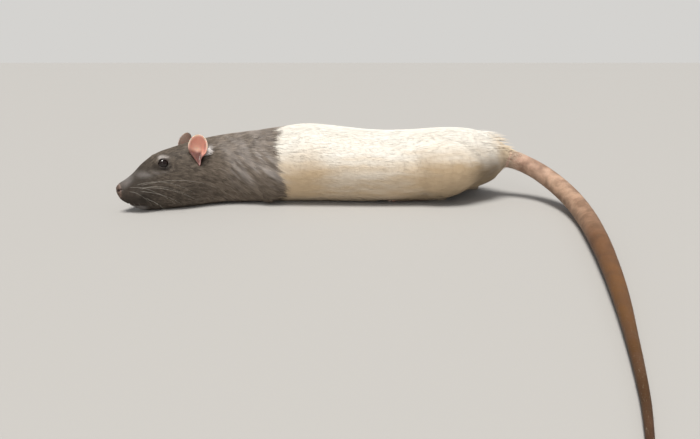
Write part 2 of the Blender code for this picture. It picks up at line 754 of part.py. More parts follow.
def make_legs(paint):
    """The four legs and feet, each cut clear of the one that it grows from."""
    for side in (LEFT, RIGHT):
        for leg, end, fur in ((hind_leg, hind_foot, "white fur"), (fore_leg, fore_paw, "hood fur")):
            finish(carve(leg(side), [floor_block(), end(side, GAP)]), paint[fur])
            finish(carve(end(side), [floor_block()]), paint["bare skin"])


def make_trunk(paint):
    """Neck, chest, loin and rump, cut clear of the legs and feet that are folded into them."""
    lengths = (
        ("neck", HEAD_END, NECK_END, fore_leg, fore_paw_room, "hood fur"),
        ("chest", NECK_END, CHEST_END, fore_leg, fore_paw_room, "white fur"),
        ("loin", CHEST_END, LOIN_END, hind_leg, hind_foot_room, "white fur"),
        ("rump", LOIN_END, BODY_END, hind_leg, hind_foot_room, "white fur"),
    )
    for name, start, end, limb, room, fur in lengths:
        made = body_length(name, start, end, RUMP_RING_STEP if name == "rump" else BODY_RING_STEP)
        cutters = [floor_block()]
        for side in (LEFT, RIGHT):
            cutters += [limb(side, GAP), room(side)]
        finish(carve(made, cutters), paint[fur])


def make_tail(paint):
    for number, (start, end) in enumerate(zip(TAIL_CUTS, TAIL_CUTS[1:]), 1):
        finish(tail_length(f"tail_{number}", start, end), paint["bare skin"])


def main():
    clear_scene()
    paint = make_materials()
    finish(make_head(), paint["hood fur"])
    for side in (LEFT, RIGHT):
        finish(make_ear(side), paint["ear skin"])
        finish(make_eye(side), paint["eye"])
    make_trunk(paint)
    make_legs(paint)
    make_tail(paint)


main()
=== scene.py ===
# %% [markdown]
# # A hooded pet rat, stretched out at rest
#
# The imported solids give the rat's true sizes: its body, legs, feet, eyes, ears and tail. This lesson dresses
# them: one seamless skin goes over the solids, a coat of small fur tufts grows on it, and the eyes, ears,
# whiskers, feet and scaly tail get their own fine pieces. Nothing here changes a size that the solids fix.

import math
from collections import namedtuple

import bmesh
import bpy
import numpy as np
from mathutils import Matrix, Vector
from mathutils.bvhtree import BVHTree
from mathutils.kdtree import KDTree


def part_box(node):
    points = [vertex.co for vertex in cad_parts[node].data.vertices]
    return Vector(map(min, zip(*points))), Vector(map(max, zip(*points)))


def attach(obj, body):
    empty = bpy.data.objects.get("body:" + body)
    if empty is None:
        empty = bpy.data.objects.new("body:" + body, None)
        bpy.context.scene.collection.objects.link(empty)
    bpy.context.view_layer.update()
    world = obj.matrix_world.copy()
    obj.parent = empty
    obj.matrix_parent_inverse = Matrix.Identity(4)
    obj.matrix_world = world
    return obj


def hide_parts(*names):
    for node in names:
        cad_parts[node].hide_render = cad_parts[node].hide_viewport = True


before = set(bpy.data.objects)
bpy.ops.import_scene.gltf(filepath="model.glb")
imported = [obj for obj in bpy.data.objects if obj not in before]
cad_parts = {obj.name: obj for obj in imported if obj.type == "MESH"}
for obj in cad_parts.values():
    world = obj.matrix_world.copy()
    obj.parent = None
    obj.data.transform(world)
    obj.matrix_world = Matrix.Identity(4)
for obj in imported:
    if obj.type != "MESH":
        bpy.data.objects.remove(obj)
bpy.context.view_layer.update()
MM = 0.001
chance = np.random.default_rng(20)
bpy.ops.object.select_all(action="DESELECT")
print("solids:", ", ".join(sorted(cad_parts)))

# %% [markdown]
# ## Camera, floor and light
#
# The camera stands low in front of the rat and looks down a little at its left side. A pale floor and a
# large soft lamp from above give the bright back and warm, shaded flank of a ceiling light; painted shade in
# the fur's colour darkens the low flank, the underside and the rear further.

# %% Camera
FOCAL_LENGTH = 26.5
CAMERA_PLACE = (0.0, -0.308, 0.080)
CAMERA_TILT = 17.14

camera_data = bpy.data.cameras.new("camera")
camera_data.lens = FOCAL_LENGTH
camera_data.sensor_width = 36.0
camera_data.clip_start = 0.01
camera = bpy.data.objects.new("camera", camera_data)
camera.location = CAMERA_PLACE
camera.rotation_euler = (math.radians(90.0 - CAMERA_TILT), 0.0, 0.0)
bpy.context.scene.collection.objects.link(camera)
bpy.context.scene.camera = camera
print("camera:", round(-CAMERA_PLACE[1] / MM), "mm in front,", round(CAMERA_PLACE[2] / MM), "mm up")


# %% Floor
FLOOR_SIZE = 40.0
FLOOR_PAINT = (0.40, 0.39, 0.375, 1.0)


def new_material(name, roughness=0.5):
    """A material, with its nodes, links and shader."""
    made = bpy.data.materials.new(name)
    made.use_nodes = True
    nodes = made.node_tree.nodes
    shader = nodes["Principled BSDF"]
    shader.inputs["Roughness"].default_value = roughness
    return made, nodes, made.node_tree.links, shader


def add_node(nodes, kind, **values):
    """A node with its plain settings and its sockets' values."""
    node = nodes.new(kind)
    for key, value in values.items():
        socket = key.replace("_", " ")
        if hasattr(node, key):
            setattr(node, key, value)
        elif socket in node.inputs:
            node.inputs[socket].default_value = value
    return node


bpy.ops.mesh.primitive_plane_add(size=FLOOR_SIZE, location=(0.0, 0.0, 0.0))
floor = bpy.context.object
floor.name = "floor"
floor_paint, nodes, links, shader = new_material("floor_paint", 0.75)
shader.inputs["Base Color"].default_value = FLOOR_PAINT
floor.data.materials.append(floor_paint)


# %% Light
def sun(name, towards, strength, softness, colour):
    data = bpy.data.lights.new(name, "SUN")
    data.energy = strength
    data.angle = math.radians(softness)
    data.color = colour
    lamp = bpy.data.objects.new(name, data)
    lamp.rotation_euler = Vector(towards).to_track_quat("-Z", "Y").to_euler()
    bpy.context.scene.collection.objects.link(lamp)
    return lamp


sun("soft_lamp_above", (0.08, 0.20, -1.0), 3.9, 26.0, (1.0, 0.975, 0.93))
front = sun("soft_lamp_front", (0.30, 0.90, -0.50), 0.68, 60.0, (1.0, 0.92, 0.82))
front.visible_glossy = False
sun("window_glint", (-0.10, 0.92, -0.26), 0.22, 9.0, (1.0, 1.0, 1.0))
room = bpy.data.worlds.new("room")
room.use_nodes = True
nodes, links = room.node_tree.nodes, room.node_tree.links
around = nodes["Background"]
around.inputs["Color"].default_value = (0.86, 0.88, 0.92, 1.0)
around.inputs["Strength"].default_value = 0.34
backdrop = add_node(nodes, "ShaderNodeBackground", Color=(0.66, 0.65, 0.63, 1.0), Strength=1.0)
seen = nodes.new("ShaderNodeLightPath").outputs["Is Camera Ray"]
both = nodes.new("ShaderNodeMixShader")
links.new(seen, both.inputs[0])
links.new(around.outputs[0], both.inputs[1])
links.new(backdrop.outputs[0], both.inputs[2])
links.new(both.outputs[0], nodes["World Output"].inputs["Surface"])
bpy.context.scene.world = room
bpy.context.scene.view_settings.view_transform = "Standard"

# %% [markdown]
# ## Measuring along the rat
#
# Fur and markings follow the body, so every later step asks the same question: how far back along the spine
# is this point, how far out to the right, and how high? The spine is straight behind the shoulders and turns
# towards the camera at the neck. It is traced once, 1 mm at a time, and points are measured against it.

# %% The spine
NOSE_TIP = (-127.0 * MM, -36.0 * MM)
HEAD_HEADING = math.radians(32.0)
SHOULDER_HEADING = math.radians(3.0)
NECK_FROM, NECK_TO, BACK_TO = 47.0 * MM, 84.0 * MM, 161.0 * MM
BODY_LENGTH = 228.5 * MM
SPINE_STEP = 1.0 * MM
BEYOND = 25
BATCH = 20000


def ease(low, high, value):
    """A smooth step from 0 to 1."""
    share = np.clip((value - low) / (high - low), 0.0, 1.0)
    return share * share * (3.0 - 2.0 * share)


spine_at = np.arange(-BEYOND, int(BODY_LENGTH / SPINE_STEP) + BEYOND) * SPINE_STEP
middles = spine_at + SPINE_STEP / 2
neck = ease(NECK_FROM, NECK_TO, middles)
heading = HEAD_HEADING * (1 - neck) + SHOULDER_HEADING * neck * (1 - ease(NECK_TO, BACK_TO, middles))
steps = np.stack([np.cos(heading), np.sin(heading)], 1) * SPINE_STEP
spine_points = np.concatenate([[(0.0, 0.0)], np.cumsum(steps, 0)])[:-1]
spine_points += np.array(NOSE_TIP) - spine_points[BEYOND]
print("spine:", len(spine_points), "points")


def nearest_row(points, rows):
    """For each point, the number of the nearest of a list of places; worked out in batches."""
    near = np.empty(len(points), int)
    for start in range(0, len(points), BATCH):
        part = points[start : start + BATCH]
        near[start : start + BATCH] = ((part[:, None] - rows[None]) ** 2).sum(2).argmin(1)
    return near


def measure(points):
    """For each point: how far along the spine, how far out to the right, and the spine's heading there."""
    near = nearest_row(points[:, :2], spine_points)
    turn = heading[near]
    offset = points[:, :2] - spine_points[near]
    along = spine_at[near] + offset[:, 0] * np.cos(turn) + offset[:, 1] * np.sin(turn)
    return along, offset[:, 1] * np.cos(turn) - offset[:, 0] * np.sin(turn), turn


def spot(along, out, height):
    """The point at this distance along the spine, out to the right of it, and so high; all in millimetres."""
    at = np.interp(along * MM, spine_at, np.arange(len(spine_at)))
    low = int(at)
    middle = spine_points[low] + (spine_points[low + 1] - spine_points[low]) * (at - low)
    turn = heading[low]
    return Vector((middle[0] - out * MM * math.sin(turn), middle[1] + out * MM * math.cos(turn), height * MM))


# %% Directions and soft noise for arrays of points
def unit(vectors):
    return vectors / np.maximum(1e-9, np.linalg.norm(vectors, axis=1))[:, None]


def soft_noise(points, size, seed):
    """Smooth random values from -1 to 1 that change over about the given size."""
    table = np.random.default_rng(seed).uniform(-1.0, 1.0, (32, 32, 32))
    cell = points / size + 1000.0
    low = np.floor(cell).astype(int)
    share = cell - low
    share = share * share * (3.0 - 2.0 * share)
    total = np.zeros(len(points))
    for dx in (0, 1):
        for dy in (0, 1):
            for dz in (0, 1):
                weight = np.ones(len(points))
                for axis, d in enumerate((dx, dy, dz)):
                    weight *= share[:, axis] if d else 1.0 - share[:, axis]
                total += weight * table[(low[:, 0] + dx) % 32, (low[:, 1] + dy) % 32, (low[:, 2] + dz) % 32]
    return total


# %% [markdown]
# ## The skin
#
# A rat has one skin from nose to tail, while the solids come in lengths with hairline gaps. Copies of the
# flesh solids are grown until they touch, melted into one surface by a voxel remesh and smoothed. The surface
# then shrinks by the depth of the coat, thin on the face and thicker on the body, so that the fur ends where
# the solids do.

# %% Copies of the flesh solids, melted together
FLESH = ["head", "neck", "chest", "loin", "rump"]
FLESH += [f"{limb}_{side}" for limb in ("fore_leg", "hind_leg") for side in ("left", "right")]
GROWN = 0.45 * MM
VOXEL = 0.45 * MM


def activate(made):
    bpy.ops.object.select_all(action="DESELECT")
    made.select_set(True)
    bpy.context.view_layer.objects.active = made


def apply_modifier(made, kind, **values):
    """Adds a modifier with these settings and applies it."""
    activate(made)
    modifier = made.modifiers.new("work", kind)
    for key, value in values.items():
        setattr(modifier, key, value)
    bpy.ops.object.modifier_apply(modifier=modifier.name)


def merged_copy(node, name):
    """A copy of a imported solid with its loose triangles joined."""
    mesh = bmesh.new()
    mesh.from_mesh(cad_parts[node].data)
    bmesh.ops.remove_doubles(mesh, verts=mesh.verts, dist=1e-6)
    data = bpy.data.meshes.new(name)
    mesh.to_mesh(data)
    mesh.free()
    if "custom_normal" in data.attributes:
        data.attributes.remove(data.attributes["custom_normal"])
    made = bpy.data.objects.new(name, data)
    bpy.context.scene.collection.objects.link(made)
    return made


copies = [merged_copy(node, "skin") for node in FLESH]
for copy in copies:
    apply_modifier(copy, "DISPLACE", strength=GROWN, mid_level=0.0)
activate(copies[0])
for copy in copies:
    copy.select_set(True)
bpy.ops.object.join()
skin = bpy.context.object
skin.name = "skin"
apply_modifier(skin, "REMESH", mode="VOXEL", voxel_size=VOXEL, use_smooth_shade=True)
print("melted skin:", len(skin.data.polygons), "faces")


# %% Smooth the body, shrink the skin by the coat's depth
def points_of(made):
    co = np.empty(len(made.data.vertices) * 3, np.float32)
    made.data.vertices.foreach_get("co", co)
    return co.reshape(-1, 3).astype(float)


def normals_of(made):
    no = np.empty(len(made.data.vertices) * 3, np.float32)
    made.data.vertex_normals.foreach_get("vector", no)
    return no.reshape(-1, 3).astype(float)


def set_points(made, points):
    made.data.vertices.foreach_set("co", points.astype(np.float32).ravel())
    made.data.update()


EYES = {side: sum(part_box(f"eye_{side}"), Vector()) / 2 for side in ("left", "right")}
EYE_RADIUS = (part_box("eye_left")[1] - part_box("eye_left")[0]).z / 2
DEPTH_AT = (0, 3, 10, 24, 40, 60, 200, 214, 222, 227, 233)
DEPTH = (0.10, 0.2, 0.45, 0.7, 1.1, 1.6, 1.7, 1.45, 1.2, 1.0, 0.9)


def coat_depth(points):
    """How deep the coat is over each point."""
    along, _, _ = measure(points)
    depth = np.interp(along, np.array(DEPTH_AT) * MM, np.array(DEPTH) * MM)
    depth *= 0.15 + 0.85 * ease(0.3 * MM, 7.0 * MM, points[:, 2])
    for side in ("left", "right"):
        gap = np.linalg.norm(points - np.array(EYES[side]), axis=1)
        depth *= 0.1 + 0.9 * ease(EYE_RADIUS * 1.3, EYE_RADIUS * 2.2, gap)
    return depth


SNOUT_END = 17.0 * MM
along, _, _ = measure(points_of(skin))
for name, weights in (("body", ease(34.0 * MM, 52.0 * MM, along)), ("coarse", along > SNOUT_END)):
    group = skin.vertex_groups.new(name=name)
    for level in range(1, 11):
        group.add(np.flatnonzero(np.ceil(weights * 10) == level).tolist(), level / 10, "REPLACE")
apply_modifier(skin, "SMOOTH", factor=0.5, iterations=4)
apply_modifier(skin, "SMOOTH", factor=0.5, iterations=45, vertex_group="body")
apply_modifier(skin, "DECIMATE", ratio=0.25, vertex_group="coarse")
points = points_of(skin)
set_points(skin, points - normals_of(skin) * (GROWN + coat_depth(points))[:, None])
skin.vertex_groups.clear()
skin.data.shade_smooth()


# %% Nostrils, the cleft of the lip and the line of the mouth
# An oval's middle and half sizes: along the spine, aside and in height; in millimetres
Oval = namedtuple("Oval", "middle radii")
NOSTRIL = Oval((0.9, 1.75, 12.6), (1.2, 0.62, 0.60))
NOSTRIL_WING = Oval((1.7, 2.55, 13.2), (1.3, 0.70, 0.36))
GROOVE = 0.26
LIP_HEIGHT, LIP_RISE = 4.5, 1.3
MOUTH_DEEP, CLEFT_DEEP, WING_DEEP = 0.55, 0.34, 0.55


def oval_reach(oval, s, aside, height):
    """The square of how far each point lies from an oval's middle: 1 on its surface."""
    offsets = ((s, aside, height)[i] - oval.middle[i] for i in range(3))
    return sum((offset / radius) ** 2 for offset, radius in zip(offsets, oval.radii))


def openings(points):
    """How deep each point lies in a nostril, the lip's cleft and the line of the mouth; in millimetres."""
    along, out, _ = measure(points)
    place = along / MM, np.abs(out) / MM, points[:, 2] / MM
    s, aside, height = place
    nostril = np.exp(-oval_reach(NOSTRIL, *place)) + WING_DEEP * np.exp(-oval_reach(NOSTRIL_WING, *place))
    lip = LIP_HEIGHT + LIP_RISE * np.clip((s - 5.0) / 8.6, 0.0, 1.0) ** 2
    mouth = np.exp(-(((height - lip) / GROOVE) ** 2)) * (1.0 - ease(12.6, 14.0, s))
    cleft = np.exp(-((aside / GROOVE) ** 2)) * (1.0 - ease(5.0, 5.6, s)) * (1.0 - ease(11.8, 12.6, height))
    cleft *= ease(lip - 0.3, lip + 0.1, height)
    return {"nostril": np.minimum(nostril, 1.0), "mouth": MOUTH_DEEP * mouth, "cleft": CLEFT_DEEP * cleft}


middles = np.empty(len(skin.data.polygons) * 3, np.float32)
skin.data.polygons.foreach_get("center", middles)
along, _, _ = measure(middles.reshape(-1, 3).astype(float))
activate(skin)
bpy.ops.object.mode_set(mode="EDIT")
bpy.ops.mesh.select_mode(type="FACE")
bpy.ops.mesh.select_all(action="DESELECT")
bpy.ops.object.mode_set(mode="OBJECT")
skin.data.polygons.foreach_set("select", along < SNOUT_END - 1.5 * MM)
bpy.ops.object.mode_set(mode="EDIT")
bpy.ops.mesh.subdivide(number_cuts=1)
bpy.ops.mesh.vertices_smooth(factor=0.5, repeat=3)
bpy.ops.mesh.select_all(action="SELECT")
bpy.ops.mesh.quads_convert_to_tris()
bpy.ops.object.mode_set(mode="OBJECT")
points = points_of(skin)
deep = openings(points)
set_points(skin, points - normals_of(skin) * (sum(deep.values()) * MM)[:, None])
# Painted shade: the deeper a point lies in the nostrils, the lip's cleft and the mouth line, the darker it is
# painted.
OPENING_SHADE = np.clip(1.3 * deep["nostril"] + 1.7 * deep["mouth"] + 1.2 * deep["cleft"], 0.0, 1.0)
print("skin:", len(skin.data.polygons), "triangles")

# %% [markdown]
# ## Markings
#
# The rat is hooded: dark grey-brown over head and shoulders, cream-white behind. The flank turns a warm tan
# low down, partly a stain and partly painted shade, and painted shade darkens the underside and the rear
# under the tail. Pale patches sit behind the ear and over the eye, a painted highlight lightens the top of
# the muzzle, and the nose is bare pinkish-brown skin, its darkness partly painted shade.
# The same rules colour the skin and every tuft on it, so nothing shows where the coat parts.

# %% Rules for the markings
HOOD_TOP, HOOD_LOW = 89.5, 93.0
HOOD_RAGGED = 2.6
BROW = Oval((22.0, 7.0, 29.2), (5.0, 4.0, 1.4))
UNDER_EYE = Oval((18.5, 8.0, 24.5), (4.5, 4.0, 2.8))
# A tan cloud's middle along the spine, its length, its middle's height and its strength
TAN_CLOUDS = ((102.0, 12.0, 20.0, 0.42), (188.0, 26.0, 18.0, 0.60))
PATCH_MIDDLE, PATCH_HEIGHT, PATCH_SLANT = 44.22, 28.8, 0.9
PATCH_FRONT, PATCH_REAR, PATCH_HIGH = 3.4, 2.3, 4.0


def white_fur_stain_and_shade(points, s, height):
    """How tan the white fur is: low on the flank, partly real stain and partly painted shade; in two clouds;
    and in fine streaks along the hair.
    """
    # Partly painted shade: the white fur turns tan low on the flank, part stain and part the shade of the
    # lower side.
    low = 1.0 - ease(9.0, 37.0, height + 3.0 * soft_noise(points * (0.35, 1, 1), 7 * MM, 7))
    stain_and_shade = 0.10 + 0.72 * low + 0.10 * soft_noise(points * (0.3, 1, 1), 4 * MM, 8)
    for middle, length, above, strength in TAN_CLOUDS:
        stain_and_shade += strength * np.exp(-(((s - middle) / length) ** 2 + ((height - above) / 12.0) ** 2))
    fine = soft_noise(points * (0.15, 1, 1), 1.3 * MM, 12) * ease(4.0, 10.0, height)
    return np.clip(stain_and_shade + 0.20 * fine * (1.0 - ease(26.0, 37.0, height)), 0.0, 1.0)


def hair_streaks(s, out, height):
    """Soft random streaks from 0 to 1 that run down and back over the shoulder."""
    hair_wise = [0.16 * (0.82 * s - 0.57 * height), 0.57 * s + 0.82 * height, 50.0 * np.sign(out)]
    return np.clip(0.35 + soft_noise(np.stack(hair_wise, 1) * MM, 1.5 * MM, 9), 0.0, 1.0)


def markings(points):
    """Shares of hood, tan stain and painted shade, pale, dark fur and painted shade, and bare skin at each
    point.
    """
    along, out, _ = measure(points)
    s, out, height = along / MM, out / MM, points[:, 2] / MM
    rough = soft_noise(points, 3.0 * MM, 5) + 0.7 * soft_noise(points, 1.2 * MM, 6)
    edge = HOOD_TOP + (HOOD_LOW - HOOD_TOP) * (1.0 - ease(8.0, 38.0, height))
    hood = 1.0 - ease(-1.2, 1.2, s - edge + HOOD_RAGGED * rough)
    stain_and_shade = white_fur_stain_and_shade(points, s, height)
    streak = hair_streaks(s, out, height)
    # Partly painted sheen: pale streaks on the hood's neck and shoulders stand for lighter hair and for the
    # sheen of light on it.
    frost_and_sheen = hood * ease(48.0, 62.0, s) * ease(10.0, 24.0, height)
    pale = frost_and_sheen * (0.03 + 0.24 * streak)
    dark_and_shade = 0.34 * (1.0 - ease(30.0, 54.0, s)) + 0.42 * (1.0 - ease(8.0, 25.0, s))
    for side in (-1, 1):
        slant = (s - PATCH_MIDDLE) - PATCH_SLANT * (height - PATCH_HEIGHT)
        across = slant / np.where(slant < 0.0, PATCH_FRONT, PATCH_REAR)
        reach = np.hypot(across, (height - PATCH_HEIGHT) / PATCH_HIGH)
        patch = 1.0 - ease(0.75, 1.15, reach + 0.12 * rough)
        pale = np.maximum(pale, patch * (out * side > 6.0) * ease(40.0, 41.5, s))
        brow = np.sqrt(oval_reach(BROW, s, out * side, height))
        pale = np.maximum(pale, 0.26 * (1.0 - ease(0.3, 1.2, brow)))
        under = np.sqrt(oval_reach(UNDER_EYE, s, out * side, height))
        dark_and_shade = np.maximum(dark_and_shade, 0.75 * (1.0 - ease(0.4, 1.3, under)))
    chin = (1.0 - ease(2.6, 4.2, height)) * (1.0 - ease(11.0, 15.0, s)) * ease(5.0, 9.0, s)
    pale = np.maximum(pale, 0.25 * chin)
    # Painted highlight: the top of the muzzle behind the nose is lightened where light would fall.
    bridge_highlight = np.exp(-(((s - 5.5) / 3.5) ** 2)) * ease(0.80, 1.0, height / (12.0 + 0.95 * s))
    pale = np.maximum(pale, 0.16 * bridge_highlight)
    # Painted highlight, streaked like hair: a pale strip along the upper side of the muzzle towards the eye.
    upper_muzzle_highlight = np.exp(-(((height - 17.5 - 0.22 * s) / 1.5) ** 2))
    upper_muzzle_highlight *= ease(6.0, 12.0, s) * (1.0 - ease(20.0, 30.0, s))
    pale = np.maximum(pale, (0.05 + 0.12 * streak) * upper_muzzle_highlight)
    nose = 1.0 - ease(1.0, 2.6, s + 0.4 * rough + np.maximum(0.0, 10.0 - height) * 0.5)
    bare = np.maximum(nose, 0.30 * (1.0 - ease(4.0, 17.0, s)))
    # The nose is darkened to dark brown, partly its own tone and partly painted shade.
    dark_and_shade = np.maximum(dark_and_shade * (1.0 - nose), nose)
    root = ease(214.0, 232.0, s + 1.5 * rough - 0.80 * np.maximum(0.0, height - 25.0))
    bare = np.maximum(bare, root)
    stain_and_shade = np.maximum(stain_and_shade, 0.85 * ease(206.0, 224.0, s))
    # Painted shade: the rear below the tail and the underside near the floor are darkened as if in shade.
    rear_shade = ease(192.0, 210.0, s) * (1.0 - ease(16.0, 33.0, height)) * (1.0 - 0.8 * root)
    underside_shade = (1.0 - hood) * (1.0 - ease(2.0, 10.0 + 10.0 * ease(155.0, 190.0, s), height))
    dark_and_shade = np.maximum(dark_and_shade, np.maximum(0.55 * rear_shade, (0.22 + 0.40 * ease(120.0, 180.0, s)) * underside_shade))
    for side in ("left", "right"):
        gap = np.linalg.norm(points - np.array(EYES[side]), axis=1)
        edge = 1.45 - 0.27 * ease(-1.0, 1.2, height - EYES[side].z / MM)
        rim = 1.0 - ease(edge - 0.3, edge, gap / EYE_RADIUS)
        dark_and_shade = np.maximum(dark_and_shade, rim)
        pale *= 1.0 - rim
    return {"hood": hood, "stain_and_shade": stain_and_shade, "pale": pale, "dark_and_shade": dark_and_shade, "bare": bare}


def store(made, name, values):
    """Keeps one number for each point of a mesh, for its material to read."""
    layer = made.data.attributes.new(name, "FLOAT", "POINT")
    layer.data.foreach_set("value", np.ascontiguousarray(values, np.float32))


for name, values in markings(points_of(skin)).items():
    store(skin, name, values)
store(skin, "opening", OPENING_SHADE)
print("markings kept on", len(skin.data.vertices), "points of the skin")

# %% [markdown]
# ## Fur colour
#
# One hair is dark at its root and lighter at its tip, and no two hairs are alike. The fur's material
# therefore reads three kinds of numbers from the mesh: the markings, how near the tip a point is, and a
# random number of the tuft's own.

# %% The fur's material
WHITE_CLEAN = (0.93, 0.91, 0.85)
# The tan below stands for stained fur and also for painted shade low on the flank.
WHITE_STAINED_AND_SHADED = (0.68, 0.52, 0.34)
WHITE_SHADED = (0.60, 0.49, 0.35)
HOOD_ROOT = (0.060, 0.046, 0.035)
HOOD_TIP = (0.37, 0.30, 0.235)
PALE_FUR = (0.93, 0.88, 0.86)
# The darkest fur: the real dark of the face and round the eyes, and painted shade under the body, at the rear
# and on the hind heels.
DARK_AND_SHADED_FUR = (0.030, 0.025, 0.021)
BARE_PINK = (0.58, 0.36, 0.28)
BARE_DARK = (0.092, 0.060, 0.045)
# Painted shade inside the nostrils, the lip's cleft and the mouth line.
INSIDE_SHADE = (0.030, 0.012, 0.010)


def mix(nodes, links, share, first, second, kind="MIX"):
    """The colour between two others, each a colour or a socket."""
    node = nodes.new("ShaderNodeMix")
    node.data_type = "RGBA"
    node.blend_type = kind
    for value, socket in ((share, node.inputs[0]), (first, node.inputs[6]), (second, node.inputs[7])):
        if isinstance(value, bpy.types.NodeSocket):
            links.new(value, socket)
        elif isinstance(value, tuple):
            socket.default_value = (*value, 1.0)
        else:
            socket.default_value = value
    return node.outputs[2]


def stored(nodes, name):
    return add_node(nodes, "ShaderNodeAttribute", attribute_name=name).outputs["Fac"]


def worked_out(nodes, links, first, second, kind="MULTIPLY", clamp=False):
    """A number worked out from two others, each a number or a socket."""
    node = nodes.new("ShaderNodeMath")
    node.operation = kind
    node.use_clamp = clamp
    for value, socket in ((first, node.inputs[0]), (second, node.inputs[1])):
        if isinstance(value, bpy.types.NodeSocket):
            links.new(value, socket)
        else:
            socket.default_value = value
    return node.outputs[0]


def add_bump(nodes, links, shader, height, strength, distance):
    """Fine relief from a grey texture."""
    bump = add_node(nodes, "ShaderNodeBump", Strength=strength, Distance=distance)
    links.new(height, bump.inputs["Height"])
    links.new(bump.outputs["Normal"], shader.inputs["Normal"])


def flecked(name, roughness, scale, first, second):
    """A material whose colour drifts between two tones, and its shader."""
    made, nodes, links, shader = new_material(name, roughness)
    fleck = add_node(nodes, "ShaderNodeTexNoise", Scale=scale, Detail=2.0)
    links.new(nodes.new("ShaderNodeTexCoord").outputs["Object"], fleck.inputs["Vector"])
    links.new(mix(nodes, links, fleck.outputs["Fac"], first, second), shader.inputs["Base Color"])
    return made, shader


def fur_colour(nodes, links, tip, own):
    """The coat's colour from its markings, the nearness of the tip and each tuft's own number."""
    white = mix(nodes, links, stored(nodes, "stain_and_shade"), WHITE_CLEAN, WHITE_STAINED_AND_SHADED)
    shaded = mix(nodes, links, worked_out(nodes, links, own, 0.08), white, WHITE_SHADED)
    silver = worked_out(nodes, links, tip, worked_out(nodes, links, own, 1.3, "POWER"), "MULTIPLY", True)
    dark = mix(nodes, links, silver, HOOD_ROOT, HOOD_TIP)
    coat = mix(nodes, links, stored(nodes, "hood"), shaded, dark)
    coat = mix(nodes, links, stored(nodes, "dark_and_shade"), coat, DARK_AND_SHADED_FUR)
    return mix(nodes, links, stored(nodes, "pale"), coat, PALE_FUR)


fur_paint, nodes, links, shader = new_material("fur_paint", 0.62)
tufts_own = stored(nodes, "own")
links.new(fur_colour(nodes, links, stored(nodes, "tip"), tufts_own), shader.inputs["Base Color"])
shader.inputs["Specular IOR Level"].default_value = 0.25

# %% The skin's material
skin_paint, nodes, links, shader = new_material("skin_paint", 0.7)
place = nodes.new("ShaderNodeTexCoord").outputs["Object"]
streaks = add_node(nodes, "ShaderNodeTexNoise", Scale=1800.0, Detail=3.0)
stretch = add_node(nodes, "ShaderNodeMapping", Scale=(0.18, 1.0, 1.0))
links.new(place, stretch.inputs["Vector"])
links.new(stretch.outputs["Vector"], streaks.inputs["Vector"])
streak = streaks.outputs["Fac"]
under = fur_colour(nodes, links, worked_out(nodes, links, streak, 0.6), streak)
grain = add_node(nodes, "ShaderNodeTexVoronoi", Scale=1500.0)
links.new(place, grain.inputs["Vector"])
pink = mix(nodes, links, worked_out(nodes, links, grain.outputs["Distance"], 0.35), BARE_PINK, BARE_DARK)
pink = mix(nodes, links, stored(nodes, "dark_and_shade"), pink, BARE_DARK)
whole = mix(nodes, links, stored(nodes, "bare"), under, pink)
# The nostrils, the lip's cleft and the mouth line darken towards the inside colour: painted shade.
links.new(mix(nodes, links, stored(nodes, "opening"), whole, INSIDE_SHADE), shader.inputs["Base Color"])
add_bump(nodes, links, shader, streak, 0.5, 0.3 * MM)
skin.data.materials.clear()
skin.data.materials.append(skin_paint)
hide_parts(*FLESH)
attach(skin, "root")

# %% [markdown]
# ## Tail
#
# The tail is a bare tapering rod with some two hundred rings of tiny scales. A flat grid is rolled up along
# the tail's path, and each ring of scales is a low step that overlaps the next one towards the tip.

# %% The rolled tail
TailRow = namedtuple("TailRow", "at x y height radius")
TAIL_ROWS = (
    TailRow(0.0, 92.6, 0.7, 24.2, 5.4), TailRow(8.5, 100.9, -1.2, 22.2, 5.15),
    TailRow(20.5, 110.5, -6.8, 17.9, 5.1), TailRow(34.5, 117.6, -17.0, 12.8, 5.2),
    TailRow(53.5, 121.2, -34.4, 7.9, 5.1), TailRow(77.5, 119.1, -57.9, 4.9, 4.8),
    TailRow(107.5, 111.8, -87.0, 4.2, 4.25), TailRow(137.5, 103.3, -115.7, 3.5, 3.6),
    TailRow(167.5, 93.8, -144.2, 2.8, 2.85), TailRow(197.5, 83.4, -172.3, 1.9, 1.9),
    TailRow(227.5, 72.3, -200.2, 1.2, 1.25), TailRow(249.0, 63.6, -218.8, 0.8, 0.85),
)
TAIL_SIDES = 28
RING_LENGTH = 1.15
RING_STEPS = 4
TAIL_LENGTH = TAIL_ROWS[-1].at


def smooth_rows(rows, key, at):
    """A smooth curve through the rows' values, read at many places."""
    places = np.array([row.at for row in rows])
    values = np.array([getattr(row, key) for row in rows])
    slopes = np.gradient(values, places)
    slopes[1:-1] = (values[2:] - values[:-2]) / (places[2:] - places[:-2])
    i = np.clip(np.searchsorted(places, at, side="right") - 1, 0, len(rows) - 2)
    span = places[i + 1] - places[i]
    t = (at - places[i]) / span
    start, end = slopes[i] * span, slopes[i + 1] * span
    rise = values[i + 1] - values[i]
    return values[i] + t * (start + t * (3 * rise - 2 * start - end + t * (start + end - 2 * rise)))


def tail_frame(at):
    """Middle, direction, sideways and upward axes of the tail at each place along it, in metres."""
    def middle(t):
        t = np.clip(t, 0, TAIL_LENGTH)
        return np.stack([smooth_rows(TAIL_ROWS, key, t) for key in ("x", "y", "height")], 1) * MM

    lead = unit(middle(at + 0.5) - middle(at - 0.5))
    across = unit(np.cross(np.array([0.0, 0.0, 1.0]), lead))
    return middle(at), lead, across, np.cross(lead, across)


